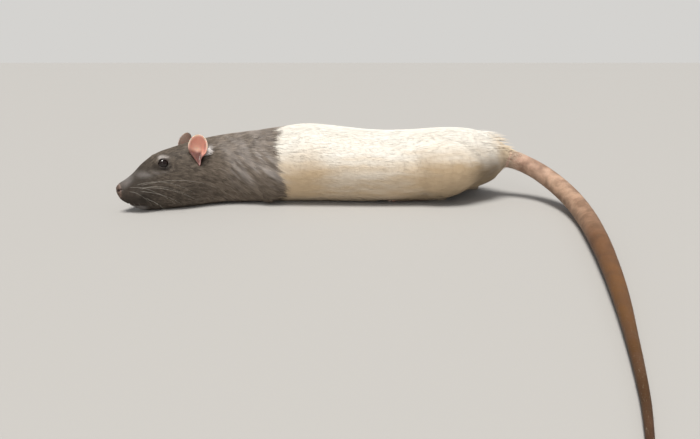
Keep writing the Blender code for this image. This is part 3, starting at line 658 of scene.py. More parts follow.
rings = int(TAIL_LENGTH / RING_LENGTH * RING_STEPS)
bpy.ops.mesh.primitive_grid_add(x_subdivisions=rings, y_subdivisions=TAIL_SIDES, size=1.0, calc_uvs=True)
tail = bpy.context.object
tail.name = "tail"
flat = points_of(tail)
tail_at = (flat[:, 0] + 0.5) * TAIL_LENGTH
turn = (flat[:, 1] + 0.5) * 2 * math.pi
middle, lead, across, over = tail_frame(tail_at)
radius = smooth_rows(TAIL_ROWS, "radius", tail_at) * MM
ring_share = (tail_at / RING_LENGTH) % 1.0
step = 0.020 * radius * (1.0 - ring_share) + 0.010 * MM
round_tail = np.stack([tail_at * MM, np.cos(turn) * 8 * MM, np.sin(turn) * 8 * MM], 1)
wobble = 1.0 + 0.015 * soft_noise(round_tail * (0.7, 1, 1), 9 * MM, 3)
end = np.sqrt(np.clip((TAIL_LENGTH - tail_at) / 1.2, 0.0, 1.0))
radius = (radius * wobble - 0.02 * radius + step) * (0.25 + 0.75 * end)
rolled = middle + across * (radius * np.cos(turn))[:, None] + over * (radius * np.sin(turn))[:, None]
rolled[:, 2] = np.maximum(rolled[:, 2], 0.02 * MM)
set_points(tail, rolled)
mesh = bmesh.new()
mesh.from_mesh(tail.data)
bmesh.ops.remove_doubles(mesh, verts=mesh.verts, dist=0.02 * MM)
ends = [edge for edge in mesh.edges if edge.is_boundary]
bmesh.ops.holes_fill(mesh, edges=ends, sides=0)
bmesh.ops.recalc_face_normals(mesh, faces=mesh.faces)
mesh.to_mesh(tail.data)
mesh.free()
tail.data.shade_smooth()
print("tail:", len(tail.data.polygons), "faces")

# %% The tail's material
SCALES_AROUND = 32
TAIL_PATCH = (0.12, 0.062, 0.034)
tail_paint, nodes, links, shader = new_material("tail_paint", 0.55)
coordinates = nodes.new("ShaderNodeTexCoord")
blotch = add_node(nodes, "ShaderNodeTexNoise", Scale=150.0, Detail=4.0)
links.new(coordinates.outputs["Object"], blotch.inputs["Vector"])
patchy = add_node(nodes, "ShaderNodeMapRange", From_Min=0.42, From_Max=0.62)
links.new(blotch.outputs["Fac"], patchy.inputs["Value"])
laid = add_node(nodes, "ShaderNodeMapping", Scale=(SCALES_AROUND, TAIL_LENGTH / RING_LENGTH, 1.0))
turned = add_node(nodes, "ShaderNodeMapping", Rotation=(0.0, 0.0, math.radians(90.0)))
links.new(coordinates.outputs["UV"], turned.inputs["Vector"])
links.new(turned.outputs["Vector"], laid.inputs["Vector"])
scales = add_node(nodes, "ShaderNodeTexBrick", Scale=1.0, Brick_Width=1.0, Row_Height=1.0)
scales.inputs["Mortar Size"].default_value = 0.13
scales.inputs["Mortar Smooth"].default_value = 1.0
scales.inputs["Color1"].default_value = (1.0, 1.0, 1.0, 1.0)
scales.inputs["Color2"].default_value = (0.72, 0.72, 0.72, 1.0)
scales.inputs["Mortar"].default_value = (0.25, 0.25, 0.25, 1.0)
links.new(laid.outputs["Vector"], scales.inputs["Vector"])
# The tail darkens from pink at the root to dark brown at the tip, partly its own colour and partly painted
# shade.
ramp = nodes.new("ShaderNodeValToRGB")
stops = ramp.color_ramp.elements
stops[0].position, stops[0].color = 0.0, (0.55, 0.36, 0.275, 1.0)
stops[1].position, stops[1].color = 1.0, (0.045, 0.021, 0.010, 1.0)
# Where along the tail each tone is, from 0 at the root to 1 at the tip; the darkening towards the tip is
# partly the tail's own colour and partly painted shade
TAIL_TONES_AND_SHADE = (
    (0.16, (0.52, 0.35, 0.25)), (0.31, (0.43, 0.275, 0.185)), (0.47, (0.19, 0.093, 0.045)),
    (0.73, (0.17, 0.077, 0.024)), (0.85, (0.10, 0.046, 0.016)),
)
for position, colour in TAIL_TONES_AND_SHADE:
    stops.new(position).color = (*colour, 1.0)
links.new(stored(nodes, "down_tail"), ramp.inputs["Fac"])
patches = worked_out(nodes, links, patchy.outputs["Result"], 0.55)
base = mix(nodes, links, patches, ramp.outputs["Color"], TAIL_PATCH)
base = mix(nodes, links, 0.30, base, scales.outputs["Color"], "MULTIPLY")
links.new(base, shader.inputs["Base Color"])
add_bump(nodes, links, shader, scales.outputs["Color"], 0.6, 0.2 * MM)
shader.inputs["Specular IOR Level"].default_value = 0.2
shader.inputs["Subsurface Weight"].default_value = 0.1
shader.inputs["Subsurface Radius"].default_value = (1.0, 0.4, 0.25)
shader.inputs["Subsurface Scale"].default_value = 0.001
TAIL_PLACES = np.linspace(0.0, TAIL_LENGTH, 250)
TAIL_MIDDLES, TAIL_LEADS, _, _ = tail_frame(TAIL_PLACES)
store(tail, "down_tail", TAIL_PLACES[nearest_row(points_of(tail), TAIL_MIDDLES)] / TAIL_LENGTH)
tail.data.materials.clear()
tail.data.materials.append(tail_paint)
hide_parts(*[f"tail_{number}" for number in range(1, 6)])
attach(tail, "root")

# %% [markdown]
# ## The coat
#
# Each tuft is a slim closed blade: it leaves the skin at a low angle, lies back along the body, and ends in a
# point. Roots are scattered evenly over the skin. Every tuft asks the skin again where its middle and its tip
# lie, so the coat wraps round the body instead of standing off it in straight lines. Neighbours lean towards
# a shared tip, which gives the soft wavy locks of a clean rat.

# %% The surfaces that the coat lies on
def triangles_of(made):
    made.data.calc_loop_triangles()
    corners = np.empty(len(made.data.loop_triangles) * 3, np.int32)
    made.data.loop_triangles.foreach_get("vertices", corners)
    return corners.reshape(-1, 3)


def softened_normals(made, rounds=8):
    """The normals of a mesh's points, evened out between neighbours."""
    ends = np.empty(len(made.data.edges) * 2, np.int32)
    made.data.edges.foreach_get("vertices", ends)
    first, second = ends.reshape(-1, 2).T
    normals = normals_of(made)
    for _ in range(rounds):
        total = normals.copy()
        np.add.at(total, first, normals[second])
        np.add.at(total, second, normals[first])
        normals = unit(total)
    return normals


skin_corners, skin_points, skin_normals = triangles_of(skin), points_of(skin), softened_normals(skin)
lying_points = np.concatenate([skin_points, points_of(tail)])
lying_normals = np.concatenate([skin_normals, softened_normals(tail)])
lying_corners = np.concatenate([skin_corners, triangles_of(tail) + len(skin_points)])
surface = BVHTree.FromPolygons(lying_points.tolist(), lying_corners.tolist())
print("surface under the coat:", len(lying_corners), "triangles")

# %% Where the roots are
TUFTS_AT = (0, 6, 24, 40, 60, 229)
TUFTS_PER_MM2 = (22.0, 18.0, 16.0, 12.0, 9.2, 8.6)


def coat_density(middle, facing):
    """Tufts per square millimetre at each place: fewer under the body, and none where it rests."""
    along, _, _ = measure(middle)
    dense = np.interp(along / MM, TUFTS_AT, TUFTS_PER_MM2)
    dense *= 1.0 - 0.8 * ease(0.35, 0.75, -facing[:, 2]) * (along > 45 * MM)
    return dense * (middle[:, 2] > 0.35 * MM)


def scatter_roots(corners, points, normals, density):
    """Random places on triangles, with their normals, as dense as the rule asks at each place."""
    first, second, third = (points[corners[:, i]] for i in range(3))
    facing = np.cross(second - first, third - first)
    area = np.linalg.norm(facing, axis=1) / 2 / MM**2
    wanted = area * density((first + second + third) / 3, unit(facing))
    count = np.floor(wanted + chance.random(len(wanted))).astype(int)
    face = np.repeat(np.arange(len(corners)), count)
    a, b = chance.random(len(face)), chance.random(len(face))
    flip = a + b > 1
    a[flip], b[flip] = 1 - a[flip], 1 - b[flip]
    weight = np.stack([1 - a - b, a, b], 1)[:, :, None]
    return (points[corners[face]] * weight).sum(1), unit((normals[corners[face]] * weight).sum(1))


roots, root_normals = scatter_roots(skin_corners, skin_points, skin_normals, coat_density)
bald = markings(roots)["bare"]
bald = np.maximum(bald, sum(openings(roots).values()) > 0.16)
for side in ("left", "right"):
    gap = np.linalg.norm(roots - np.array(EYES[side]), axis=1)
    bald = np.maximum(bald, gap < EYE_RADIUS * 1.12)
keep = bald < 0.40 + 0.55 * chance.random(len(roots))
roots, root_normals = roots[keep], root_normals[keep]
print("tufts:", len(roots))

# %% How the coat lies
LENGTH_AT = (0, 5, 12, 24, 36, 48, 64, 90, 150, 200, 216, 229)
LENGTH = (0.7, 1.1, 1.8, 2.6, 3.6, 5.2, 7.0, 8.5, 9.5, 10.0, 8.0, 4.6)
WIDTH_AT = (0, 12, 36, 60, 229)
WIDTH = (0.12, 0.14, 0.17, 0.21, 0.23)


def lie_of_coat(points, normals):
    """Which way the hair runs: back along the spine, down the flanks, and away from the eyes."""
    along, _, turn = measure(points)
    back = np.stack([np.cos(turn), np.sin(turn), np.zeros(len(points))], 1)
    flank = 1.0 - ease(0.35, 1.0, np.abs(normals[:, 2]))
    shoulder = np.exp(-(((along / MM - 72.0) / 30.0) ** 2))
    down = flank * (0.14 + 0.60 * shoulder) * (1.0 - ease(190 * MM, 210 * MM, along))
    ripple = np.sin(along / (2.0 * MM) + 5.0 * soft_noise(points, 16 * MM, 24))
    down += 0.06 * flank * ripple * ease(100 * MM, 120 * MM, along)
    flow = back.copy()
    flow[:, 2] -= down
    for side in ("left", "right"):
        away = points - np.array(EYES[side])
        gap = np.linalg.norm(away, axis=1)
        flow += unit(away) * (0.7 * (1.0 - ease(EYE_RADIUS, EYE_RADIUS * 2.0, gap)))[:, None]
    swirl = np.stack([soft_noise(points * (0.5, 1, 1), 9 * MM, 20 + axis) for axis in range(3)], 1)
    flow += 0.12 * swirl * ease(20 * MM, 60 * MM, along)[:, None]
    flow -= normals * (flow * normals).sum(1)[:, None]
    return unit(flow)


flow = lie_of_coat(roots, root_normals)
root_along = measure(roots)[0]
lengths = np.interp(root_along / MM, LENGTH_AT, LENGTH) * MM
uneven = 0.5 + 0.5 * ease(205 * MM, 222 * MM, root_along)
lengths *= 1.0 - 0.5 * uneven + uneven * chance.random(len(roots))
pressed = ease(0.0, 9 * MM, roots[:, 2])
lengths *= 0.45 + 0.55 * pressed
widths = np.interp(root_along / MM, WIDTH_AT, WIDTH) * MM * (0.75 + 0.5 * chance.random(len(roots)))

# %% Locks: neighbours lean towards a shared tip
LOCK_SHARE = 14
leaders = np.arange(0, len(roots))[chance.random(len(roots)) < 1 / LOCK_SHARE]
lock_tree = KDTree(len(leaders))
for number, leader in enumerate(leaders):
    lock_tree.insert(roots[leader], number)
lock_tree.balance()
lock = leaders[np.array([lock_tree.find(root)[1] for root in roots.tolist()])]
tips = roots + flow * lengths[:, None]
pull = 0.22 * ease(15 * MM, 60 * MM, root_along)
tips += (roots[lock] + flow[lock] * lengths[lock][:, None] - tips) * pull[:, None]
print("locks:", len(leaders))


# %% Tufts laid on the skin
def on_skin(points):
    """The nearest places on the skin or the tail, and which way it smoothly faces there."""
    places, faces = np.empty_like(points), np.empty(len(points), int)
    for number, point in enumerate(points.tolist()):
        found = surface.find_nearest(point)
        places[number], faces[number] = found[0], found[2]
    a, b, c = (lying_points[lying_corners[faces, i]] for i in range(3))
    full = np.cross(b - a, c - a)
    size = np.maximum(1e-18, (full * full).sum(1))
    weight_b = (np.cross(places - a, c - a) * full).sum(1) / size
    weight_c = (np.cross(b - a, places - a) * full).sum(1) / size
    weights = np.stack([1.0 - weight_b - weight_c, weight_b, weight_c], 1)[:, :, None]
    return places, unit((lying_normals[lying_corners[faces]] * weights).sum(1))


middles_place, middles_facing = on_skin(roots * 0.52 + tips * 0.48)
tips_place, tips_facing = on_skin(tips)
depth = coat_depth(roots)
height_share = 0.84 + 0.18 * chance.random(len(roots))
height_share += 0.035 * soft_noise(roots * (0.45, 1, 1), 5 * MM, 31)
marks = markings(roots)
# The white tufts behind the ear stand taller, on a slant that starts 43.9 mm from the nose at 29 mm height
STANDING_FROM, STANDING_HEIGHT, STANDING_TO, TALLER = 43.9 * MM, 29.0 * MM, 52 * MM, 1.9
behind_ear = root_along - PATCH_SLANT * (roots[:, 2] - STANDING_HEIGHT)
standing = (marks["pale"] > 0.5) & (behind_ear > STANDING_FROM) & (root_along < STANDING_TO)
height_share[standing] *= TALLER
middle_height = depth * height_share * 0.78
tip_height = depth * height_share * (1.0 - 0.5 * ease(206 * MM, 231 * MM, root_along))
middle_points = middles_place + middles_facing * middle_height[:, None]
tip_points = tips_place + tips_facing * tip_height[:, None]
guard = (root_along > 206 * MM) & (root_along < 224 * MM) & (root_normals[:, 2] > 0.45)
guard &= chance.random(len(roots)) < 0.008 + 0.020 * ease(208 * MM, 216 * MM, root_along)
widths[guard] *= 1.7
level = np.array([1.0, 0.0, 0.10]) * 0.45
straight = roots + unit(flow * 0.55 + level) * (lengths * 1.3)[:, None]
straight += root_normals * (depth * 0.9)[:, None]
tip_points[guard] = straight[guard]
middle_points[guard] = ((roots + straight) / 2 + root_normals * 0.4 * MM)[guard]
lowest = 0.12 * MM
middle_points[:, 2] = np.maximum(middle_points[:, 2], lowest + 0.1 * MM)
tip_points[:, 2] = np.maximum(tip_points[:, 2], lowest)

own = 0.45 * chance.random(len(roots)) + 0.55 * chance.random(len(roots))[lock]


# %% Tufts as meshes
def around_body(points):
    """Each point's place on an unwrap of the body: along the spine, and round it from the belly."""
    along, out, _ = measure(points)
    u = np.clip((along + 3 * MM) / (BODY_LENGTH + 6 * MM), 0.0, 1.0)
    v = (np.arctan2(out, -(points[:, 2] - 17 * MM)) / (2 * math.pi)) % 1.0
    return np.stack([u, v], 1)


def tuft_mesh(name, root, middle, tip, facings, width, numbers):
    """Closed three-sided spindles, joined in one mesh, with their numbers and the map for baking."""
    count = len(root)
    facing = facings[:, 0]
    lead = unit(middle - root)
    across = unit(np.cross(lead, facing))
    over = unit(np.cross(across, lead))
    half = across * (width / 2)[:, None]
    ridge = over * (width * 0.35)[:, None]
    co = np.stack([root - facing * 0.2 * MM, middle - half, middle + half, middle + ridge, tip], 1)
    triangles = np.array([(0, 1, 2), (0, 2, 3), (0, 3, 1), (1, 4, 2), (2, 4, 3), (3, 4, 1)])
    mesh = bpy.data.meshes.new(name)
    mesh.vertices.add(count * CORNERS)
    mesh.vertices.foreach_set("co", co.astype(np.float32).ravel())
    index = (np.arange(count)[:, None, None] * CORNERS + triangles[None]).reshape(-1)
    mesh.loops.add(len(index))
    mesh.loops.foreach_set("vertex_index", index.astype(np.int32))
    mesh.polygons.add(len(index) // 3)
    mesh.polygons.foreach_set("loop_start", np.arange(0, len(index), 3, dtype=np.int32))
    mesh.update(calc_edges=True)
    mesh.shade_smooth()
    bends = np.stack([over, -across, across, over, over], 1)
    soft = unit((facings * SOFTNESS + bends * (1.0 - SOFTNESS)).reshape(-1, 3))
    layer = mesh.attributes.new("custom_normal", "FLOAT_VECTOR", "POINT")
    layer.data.foreach_set("vector", soft.astype(np.float32).ravel())
    corner = np.array([(0.5, 0), (0, 0.5), (1, 0.5), (0.5, 0.5), (0.5, 1.0)]) - 0.5
    uv = np.clip(around_body(root)[:, None] + corner[None] * PATCH, 0.0, 1.0).reshape(-1, 2)
    layer = mesh.uv_layers.new(name="OFBake")
    layer.uv.foreach_set("vector", uv[index].astype(np.float32).ravel())
    made = bpy.data.objects.new(name, mesh)
    bpy.context.scene.collection.objects.link(made)
    for key, values in numbers.items():
        store(made, key, np.repeat(values, CORNERS))
    store(made, "tip", np.tile([0.1, 0.6, 0.6, 0.65, 1.0], count))
    mesh.materials.append(fur_paint)
    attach(made, "root")
    return made


PATCH = 0.003
SOFTNESS = 0.82
CORNERS = 5
facings = np.stack([root_normals, middles_facing, middles_facing, middles_facing, tips_facing], 1)
PARTS = (
    ("muzzle", 0.0), ("face", 17.0), ("cheeks", 30.0), ("nape", 44.0), ("neck", 60.0), ("shoulders", 78.0),
    ("back", 98.0), ("ribs", 119.0), ("waist", 141.0), ("loins", 163.0), ("haunches", 184.0), ("rump", 204.0),
)
limits = [start * MM for _, start in PARTS[1:]] + [1.0]
before = -1.0
for (name, _), limit in zip(PARTS, limits):
    chosen = (root_along >= before) & (root_along < limit)
    before = limit
    numbers = {key: marks[key][chosen] for key in ("hood", "stain_and_shade", "pale", "dark_and_shade")}
    numbers["own"] = own[chosen]
    made = tuft_mesh(
        f"coat_{name}", roots[chosen], middle_points[chosen], tip_points[chosen],
        facings[chosen], widths[chosen], numbers,
    )
    print(made.name, chosen.sum(), "tufts", len(made.data.polygons), "triangles")

# %% [markdown]
# ## Eyes and lids
#
# A rat's eye is a wet black bead. It keeps the solid's place and size as a finer ball, and the lids are a
# thin ring of bare skin, almond-shaped, that hugs it.

# %% Eyes
EYE_BLACK, EYE_BROWN = (0.004, 0.003, 0.003), (0.020, 0.010, 0.008)
eye_paint, shader = flecked("eye_paint", 0.05, 400.0, EYE_BLACK, EYE_BROWN)
shader.inputs["Specular IOR Level"].default_value = 0.45

for side in ("left", "right"):
    bpy.ops.mesh.primitive_uv_sphere_add(segments=40, ring_count=24, radius=EYE_RADIUS, location=EYES[side])
    eye = bpy.context.object
    bpy.ops.object.transform_apply(location=True, rotation=True, scale=True)
    eye.name = f"eyeball_{side}"
    eye.data.shade_smooth()
    eye.data.materials.append(eye_paint)
    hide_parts(f"eye_{side}")
    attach(eye, "root")
    print(eye.name, round(2 * EYE_RADIUS / MM, 2), "mm across")

# %% Lids
EYE_LOOK = {"left": (-0.24, -0.88, 0.32), "right": (-0.24, 0.88, 0.32)}
# How far the lids' edges stand from the middle of the eye, and how far back the lids reach; in degrees
OPEN_CORNER, OPEN_TOP, OPEN_LOW, LID_REACH = 62.0, 37.0, 45.0, 96.0
LID_TILT = math.radians(20.0)
LID_DARK, LID_BROWN = (0.022, 0.016, 0.013), (0.070, 0.052, 0.043)
lid_paint, _ = flecked("lid_paint", 0.45, 2500.0, LID_DARK, LID_BROWN)

for side in ("left", "right"):
    look = (Matrix.Rotation(HEAD_HEADING, 3, "Z") @ Vector(EYE_LOOK[side])).normalized()
    level = Matrix.Rotation(HEAD_HEADING, 3, "Z") @ Vector((1.0, 0.0, 0.0))
    level = np.array((level - look * level.dot(look)).normalized())
    look = np.array(look)
    rise = np.cross(look, level)
    rise *= math.copysign(1.0, rise[2])
    tilted = level * math.cos(LID_TILT) - rise * math.sin(LID_TILT)
    rise = rise * math.cos(LID_TILT) + level * math.sin(LID_TILT)
    bpy.ops.mesh.primitive_torus_add(major_radius=2.0, minor_radius=1.0, major_segments=64, minor_segments=16)
    lids = bpy.context.object
    points = points_of(lids)
    turn = np.arctan2(points[:, 1], points[:, 0])
    reach = np.linalg.norm(points[:, :2], axis=1) - 2.0
    edge = np.where(np.sin(turn) > 0, OPEN_TOP, OPEN_LOW)
    edge = OPEN_CORNER + (edge - OPEN_CORNER) * np.sin(turn) ** 2
    slant = np.radians(edge + (LID_REACH - edge) * (reach + 1.0) / 2)
    thick = EYE_RADIUS * 1.01 + (0.16 + 0.22 * points[:, 2] + 0.10 * (1.0 - reach)) * MM
    spoke = tilted * np.cos(turn)[:, None] + rise * np.sin(turn)[:, None]
    outward = look * np.cos(slant)[:, None] + spoke * np.sin(slant)[:, None]
    set_points(lids, np.array(EYES[side]) + outward * thick[:, None])
    bpy.ops.object.mode_set(mode="EDIT")
    bpy.ops.mesh.select_all(action="SELECT")
    bpy.ops.mesh.normals_make_consistent(inside=False)
    bpy.ops.object.mode_set(mode="OBJECT")
    lids.name = f"lids_{side}"
    lids.data.shade_smooth()
    lids.data.materials.append(lid_paint)
    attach(lids, "root")
    print(lids.name, len(lids.data.polygons), "faces")

# %% [markdown]
# ## Ears
#
# Rat ears are thin cups of nearly bare skin that the light shines through. The solid's cup is copied, its
# triangles are joined, and a subdivision surface rounds it. Every point then gets its place in the cup, so
# that the rim, the bright bottom of the cup, and the fold at its root and its creases, darkened with painted
# shade, can have their own colours. A fuzz of very short hairs stands on the rim and the outer side.

# %% Where each point lies in an ear
EAR_PLACE = {"left": (43.0, -11.8, 34.6), "right": (42.0, 11.8, 33.3)}
EAR_OPENS = {"left": (-0.50, -0.80, 0.16), "right": (-0.50, 0.80, 0.16)}
EAR_LEANS = {"left": (0.06, -0.22, 1.0), "right": (-0.34, 0.95, 1.0)}
EAR_HALF_WIDTH, EAR_HALF_HEIGHT = 5.2, 6.2


def ear_axes(side):
    """The ear's way of opening, its width towards the back, and its rise."""
    opening = Vector(EAR_OPENS[side]).normalized()
    lean = Vector(EAR_LEANS[side])
    rise = (lean - opening * lean.dot(opening)).normalized()
    back = opening.cross(rise) * (1.0 if side == "right" else -1.0)
    turn = Matrix.Rotation(HEAD_HEADING, 3, "Z")
    return [np.array(turn @ axis) for axis in (opening, back, rise)]


def in_ear(points, side):
    """How far back, how high and how far out of the cup each point lies, from its middle; in millimetres."""
    away = (points - np.array(spot(*EAR_PLACE[side]))) / MM
    opening, back, rise = ear_axes(side)
    return away @ back, away @ rise, away @ opening


# %% The ears' material
EAR_SALMON, EAR_DEEP = (0.80, 0.40, 0.31), (0.68, 0.31, 0.235)
# The fold and crease colours are painted shade: the hollow at the ear's root and its creases are darkened.
EAR_BRIGHT, EAR_RIM, EAR_FOLD_SHADE = (0.95, 0.62, 0.48), (0.88, 0.62, 0.50), (0.16, 0.075, 0.065)
EAR_CREASE_SHADE = (0.33, 0.165, 0.150)
EAR_OUTSIDE = (0.17, 0.108, 0.082)
ear_paint, nodes, links, shader = new_material("ear_paint", 0.5)
place = nodes.new("ShaderNodeTexCoord").outputs["Object"]
veins = add_node(nodes, "ShaderNodeTexNoise", Scale=420.0, Detail=4.0, Distortion=1.6)
links.new(place, veins.inputs["Vector"])
colour = mix(nodes, links, veins.outputs["Fac"], EAR_DEEP, EAR_SALMON)
colour = mix(nodes, links, stored(nodes, "bowl"), colour, EAR_BRIGHT)
colour = mix(nodes, links, stored(nodes, "rim"), colour, EAR_RIM)
colour = mix(nodes, links, stored(nodes, "crease"), colour, EAR_CREASE_SHADE)
colour = mix(nodes, links, stored(nodes, "fold_shade"), colour, EAR_FOLD_SHADE)
colour = mix(nodes, links, stored(nodes, "outside"), colour, EAR_OUTSIDE)
links.new(colour, shader.inputs["Base Color"])
shader.inputs["Subsurface Weight"].default_value = 0.3
shader.inputs["Subsurface Radius"].default_value = (1.0, 0.35, 0.2)
shader.inputs["Subsurface Scale"].default_value = 0.0015
pores = add_node(nodes, "ShaderNodeTexNoise", Scale=3000.0, Detail=2.0)
links.new(place, pores.inputs["Vector"])
add_bump(nodes, links, shader, pores.outputs["Fac"], 0.25, 0.2 * MM)

# %% Ears
ears = {}
for side in ("left", "right"):
    ear = merged_copy(f"ear_{side}", f"earcup_{side}")
    apply_modifier(ear, "SUBSURF", levels=2, render_levels=2)
    ear.data.shade_smooth()
    points, facing = points_of(ear), normals_of(ear)
    back, up, _ = in_ear(points, side)
    reach = np.hypot(back / EAR_HALF_WIDTH, up / EAR_HALF_HEIGHT)
    inside = ease(-0.15, 0.25, facing @ ear_axes(side)[0])
    store(ear, "bowl", np.exp(-(((back + 1.6) / 1.9) ** 2) - ((up + 1.9) / 2.3) ** 2) * inside)
    store(ear, "rim", ease(0.80, 0.97, reach) * (1.0 - ease(-1.0, 2.5, -up)))
    # Painted shade: the hollow at the root of the cup and the crease along its rear edge are darkened.
    hollow_shade = ease(2.3, 4.5, -up + 0.35 * np.abs(back + 1.0)) * (1.0 - ease(0.9, 2.3, back))
    store(ear, "fold_shade", 0.90 * hollow_shade * inside)
    rear_fold_shade = 0.6 * np.exp(-(((back - 3.4) / 0.8) ** 2)) * (up < 2.0)
    store(ear, "crease", np.maximum(ease(3.0, 5.0, -up), rear_fold_shade) * inside)
    store(ear, "outside", (1.0 - inside) * 0.93)
    ear.data.materials.clear()
    ear.data.materials.append(ear_paint)
    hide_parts(f"ear_{side}")
    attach(ear, "root")
    ears[side] = ear
    print(ear.name, len(ear.data.polygons), "faces")


# %% Short hairs on a finished piece
def tone(hood=0.0, stain_and_shade=0.0, pale=0.0, dark_and_shade=0.0):
    """One colour of fur, as the shares that its material reads."""
    return {"hood": hood, "stain_and_shade": stain_and_shade, "pale": pale, "dark_and_shade": dark_and_shade}


def short_hairs(name, made, density, run_of, size, numbers):
    """Short tufts, of one length, lift and width, that leave a piece at a low angle along its run."""
    length, lift, width = size
    roots, facing = scatter_roots(triangles_of(made), points_of(made), softened_normals(made, 2), density)
    run = run_of(roots)
    run -= facing * (run * facing).sum(1)[:, None]
    run = unit(unit(run) + 0.30 * (chance.random((len(roots), 3)) - 0.5))
    long = length * MM * (0.65 + 0.7 * chance.random(len(roots)))
    tips = roots + run * long[:, None] + facing * lift * MM
    middles = (roots + tips) / 2 + facing * (0.25 * lift * MM)
    tips[:, 2] = np.maximum(tips[:, 2], 0.12 * MM)
    middles[:, 2] = np.maximum(middles[:, 2], 0.15 * MM)
    widths = width * MM * (0.7 + 0.6 * chance.random(len(roots)))
    values = {key: np.full(len(roots), value) for key, value in numbers.items()}
    values["own"] = chance.random(len(roots))
    hairs = tuft_mesh(name, roots, middles, tips, np.repeat(facing[:, None], CORNERS, 1), widths, values)
    print(name, len(roots), "tufts")
    return hairs


for side, ear in ears.items():
    def fuzz(middle, facing, side=side):
        back, up, _ = in_ear(middle, side)
        rim = ease(0.86, 1.0, np.hypot(back / EAR_HALF_WIDTH, up / EAR_HALF_HEIGHT))
        outer = ease(0.0, 0.3, -(facing @ ear_axes(side)[0]))
        return 11.0 * np.maximum(outer, 0.5 * rim) * (up > -7.0)

    def upwards(points, side=side):
        outwards = unit(points - np.array(spot(*EAR_PLACE[side])))
        return np.repeat(ear_axes(side)[2][None], len(points), 0) + outwards * 0.8

    fuzz_tone = tone(hood=0.8, stain_and_shade=1.0, pale=0.05, dark_and_shade=0.1)
    hairs = short_hairs(f"fuzz_ear_{side}", ear, fuzz, upwards, (0.70, 0.12, 0.045), fuzz_tone)

# %% Fine hairs on the tail
def down_the_tail(points):
    return TAIL_LEADS[nearest_row(points, TAIL_MIDDLES)].copy()


def sparse(middle, facing):
    return 0.6 * (TAIL_PLACES[nearest_row(middle, TAIL_MIDDLES)] > 12.0)


def dense_root(middle, facing):
    return 3.5 * (1.0 - ease(3.0, 13.0, TAIL_PLACES[nearest_row(middle, TAIL_MIDDLES)])) ** 1.5


brown, beige = tone(hood=0.55, stain_and_shade=1.0, dark_and_shade=0.35), tone(stain_and_shade=0.7, dark_and_shade=0.15)
hairs = short_hairs("hairs_tail", tail, sparse, down_the_tail, (1.8, 0.18, 0.050), brown)
hairs = short_hairs("hairs_tail_root", tail, dense_root, down_the_tail, (2.8, 0.25, 0.085), beige)

# %% [markdown]
# ## Feet
#
# The feet are folded under the body, and only their edges show from the side. Each is a copy of its solid,
# remeshed finely and smoothed so that toes and pads are round, with short pale hairs on its back, longer
# hairs of the leg's colour round the heel or wrist, and a curved horn claw on every toe. The skin round the
# heel or wrist is a dull brown, partly as fur and partly as painted shade, and the hind heels' hairs carry
# painted shade too.

# %% Feet
# The hock colours brown the skin round the heel or wrist: partly the fur there, partly painted shade under the
# body.
SOLE_ROSE, SOLE_PINK = (0.46, 0.23, 0.175), (0.70, 0.43, 0.35)
HOCK_DARK, HOCK_BROWN = (0.20, 0.15, 0.11), (0.34, 0.27, 0.20)
foot_paint, nodes, links, shader = new_material("foot_paint", 0.5)
place = nodes.new("ShaderNodeTexCoord").outputs["Object"]
crease = add_node(nodes, "ShaderNodeTexNoise", Scale=900.0, Detail=4.0)
links.new(place, crease.inputs["Vector"])
sole = mix(nodes, links, crease.outputs["Fac"], SOLE_ROSE, SOLE_PINK)
hock = mix(nodes, links, crease.outputs["Fac"], HOCK_DARK, HOCK_BROWN)
links.new(mix(nodes, links, stored(nodes, "hock"), sole, hock), shader.inputs["Base Color"])
add_bump(nodes, links, shader, crease.outputs["Fac"], 0.4, 0.2 * MM)


def hair_tubes(name, paths, radii, sides, material):
    """Tapering closed tubes along many paths at once, as one mesh."""
    verts, faces = [], []
    for path, radius in zip(paths, radii):
        start = len(verts)
        count = len(path)
        for i, point in enumerate(path):
            lead = (path[min(i + 1, count - 1)] - path[max(i - 1, 0)]).normalized()
            across = lead.cross(Vector((0.1, 0.2, 1.0))).normalized()
            over = lead.cross(across)
            fat = radius * (1.0 - 0.85 * i / (count - 1))
            for k in range(sides):
                angle = 2 * math.pi * k / sides
                verts.append(point + (across * math.cos(angle) - over * math.sin(angle)) * fat)
        for i in range(count - 1):
            for k in range(sides):
                a, b = start + i * sides + k, start + i * sides + (k + 1) % sides
                faces.append((a, a + sides, b + sides, b))
        faces.append(tuple(start + k for k in range(sides)))
        faces.append(tuple(start + (count - 1) * sides + k for k in reversed(range(sides))))
    mesh = bpy.data.meshes.new(name)
    mesh.from_pydata([tuple(v) for v in verts], [], faces)
    mesh.shade_smooth()
    mesh.materials.append(material)
    made = bpy.data.objects.new(name, mesh)
    bpy.context.scene.collection.objects.link(made)
    return made


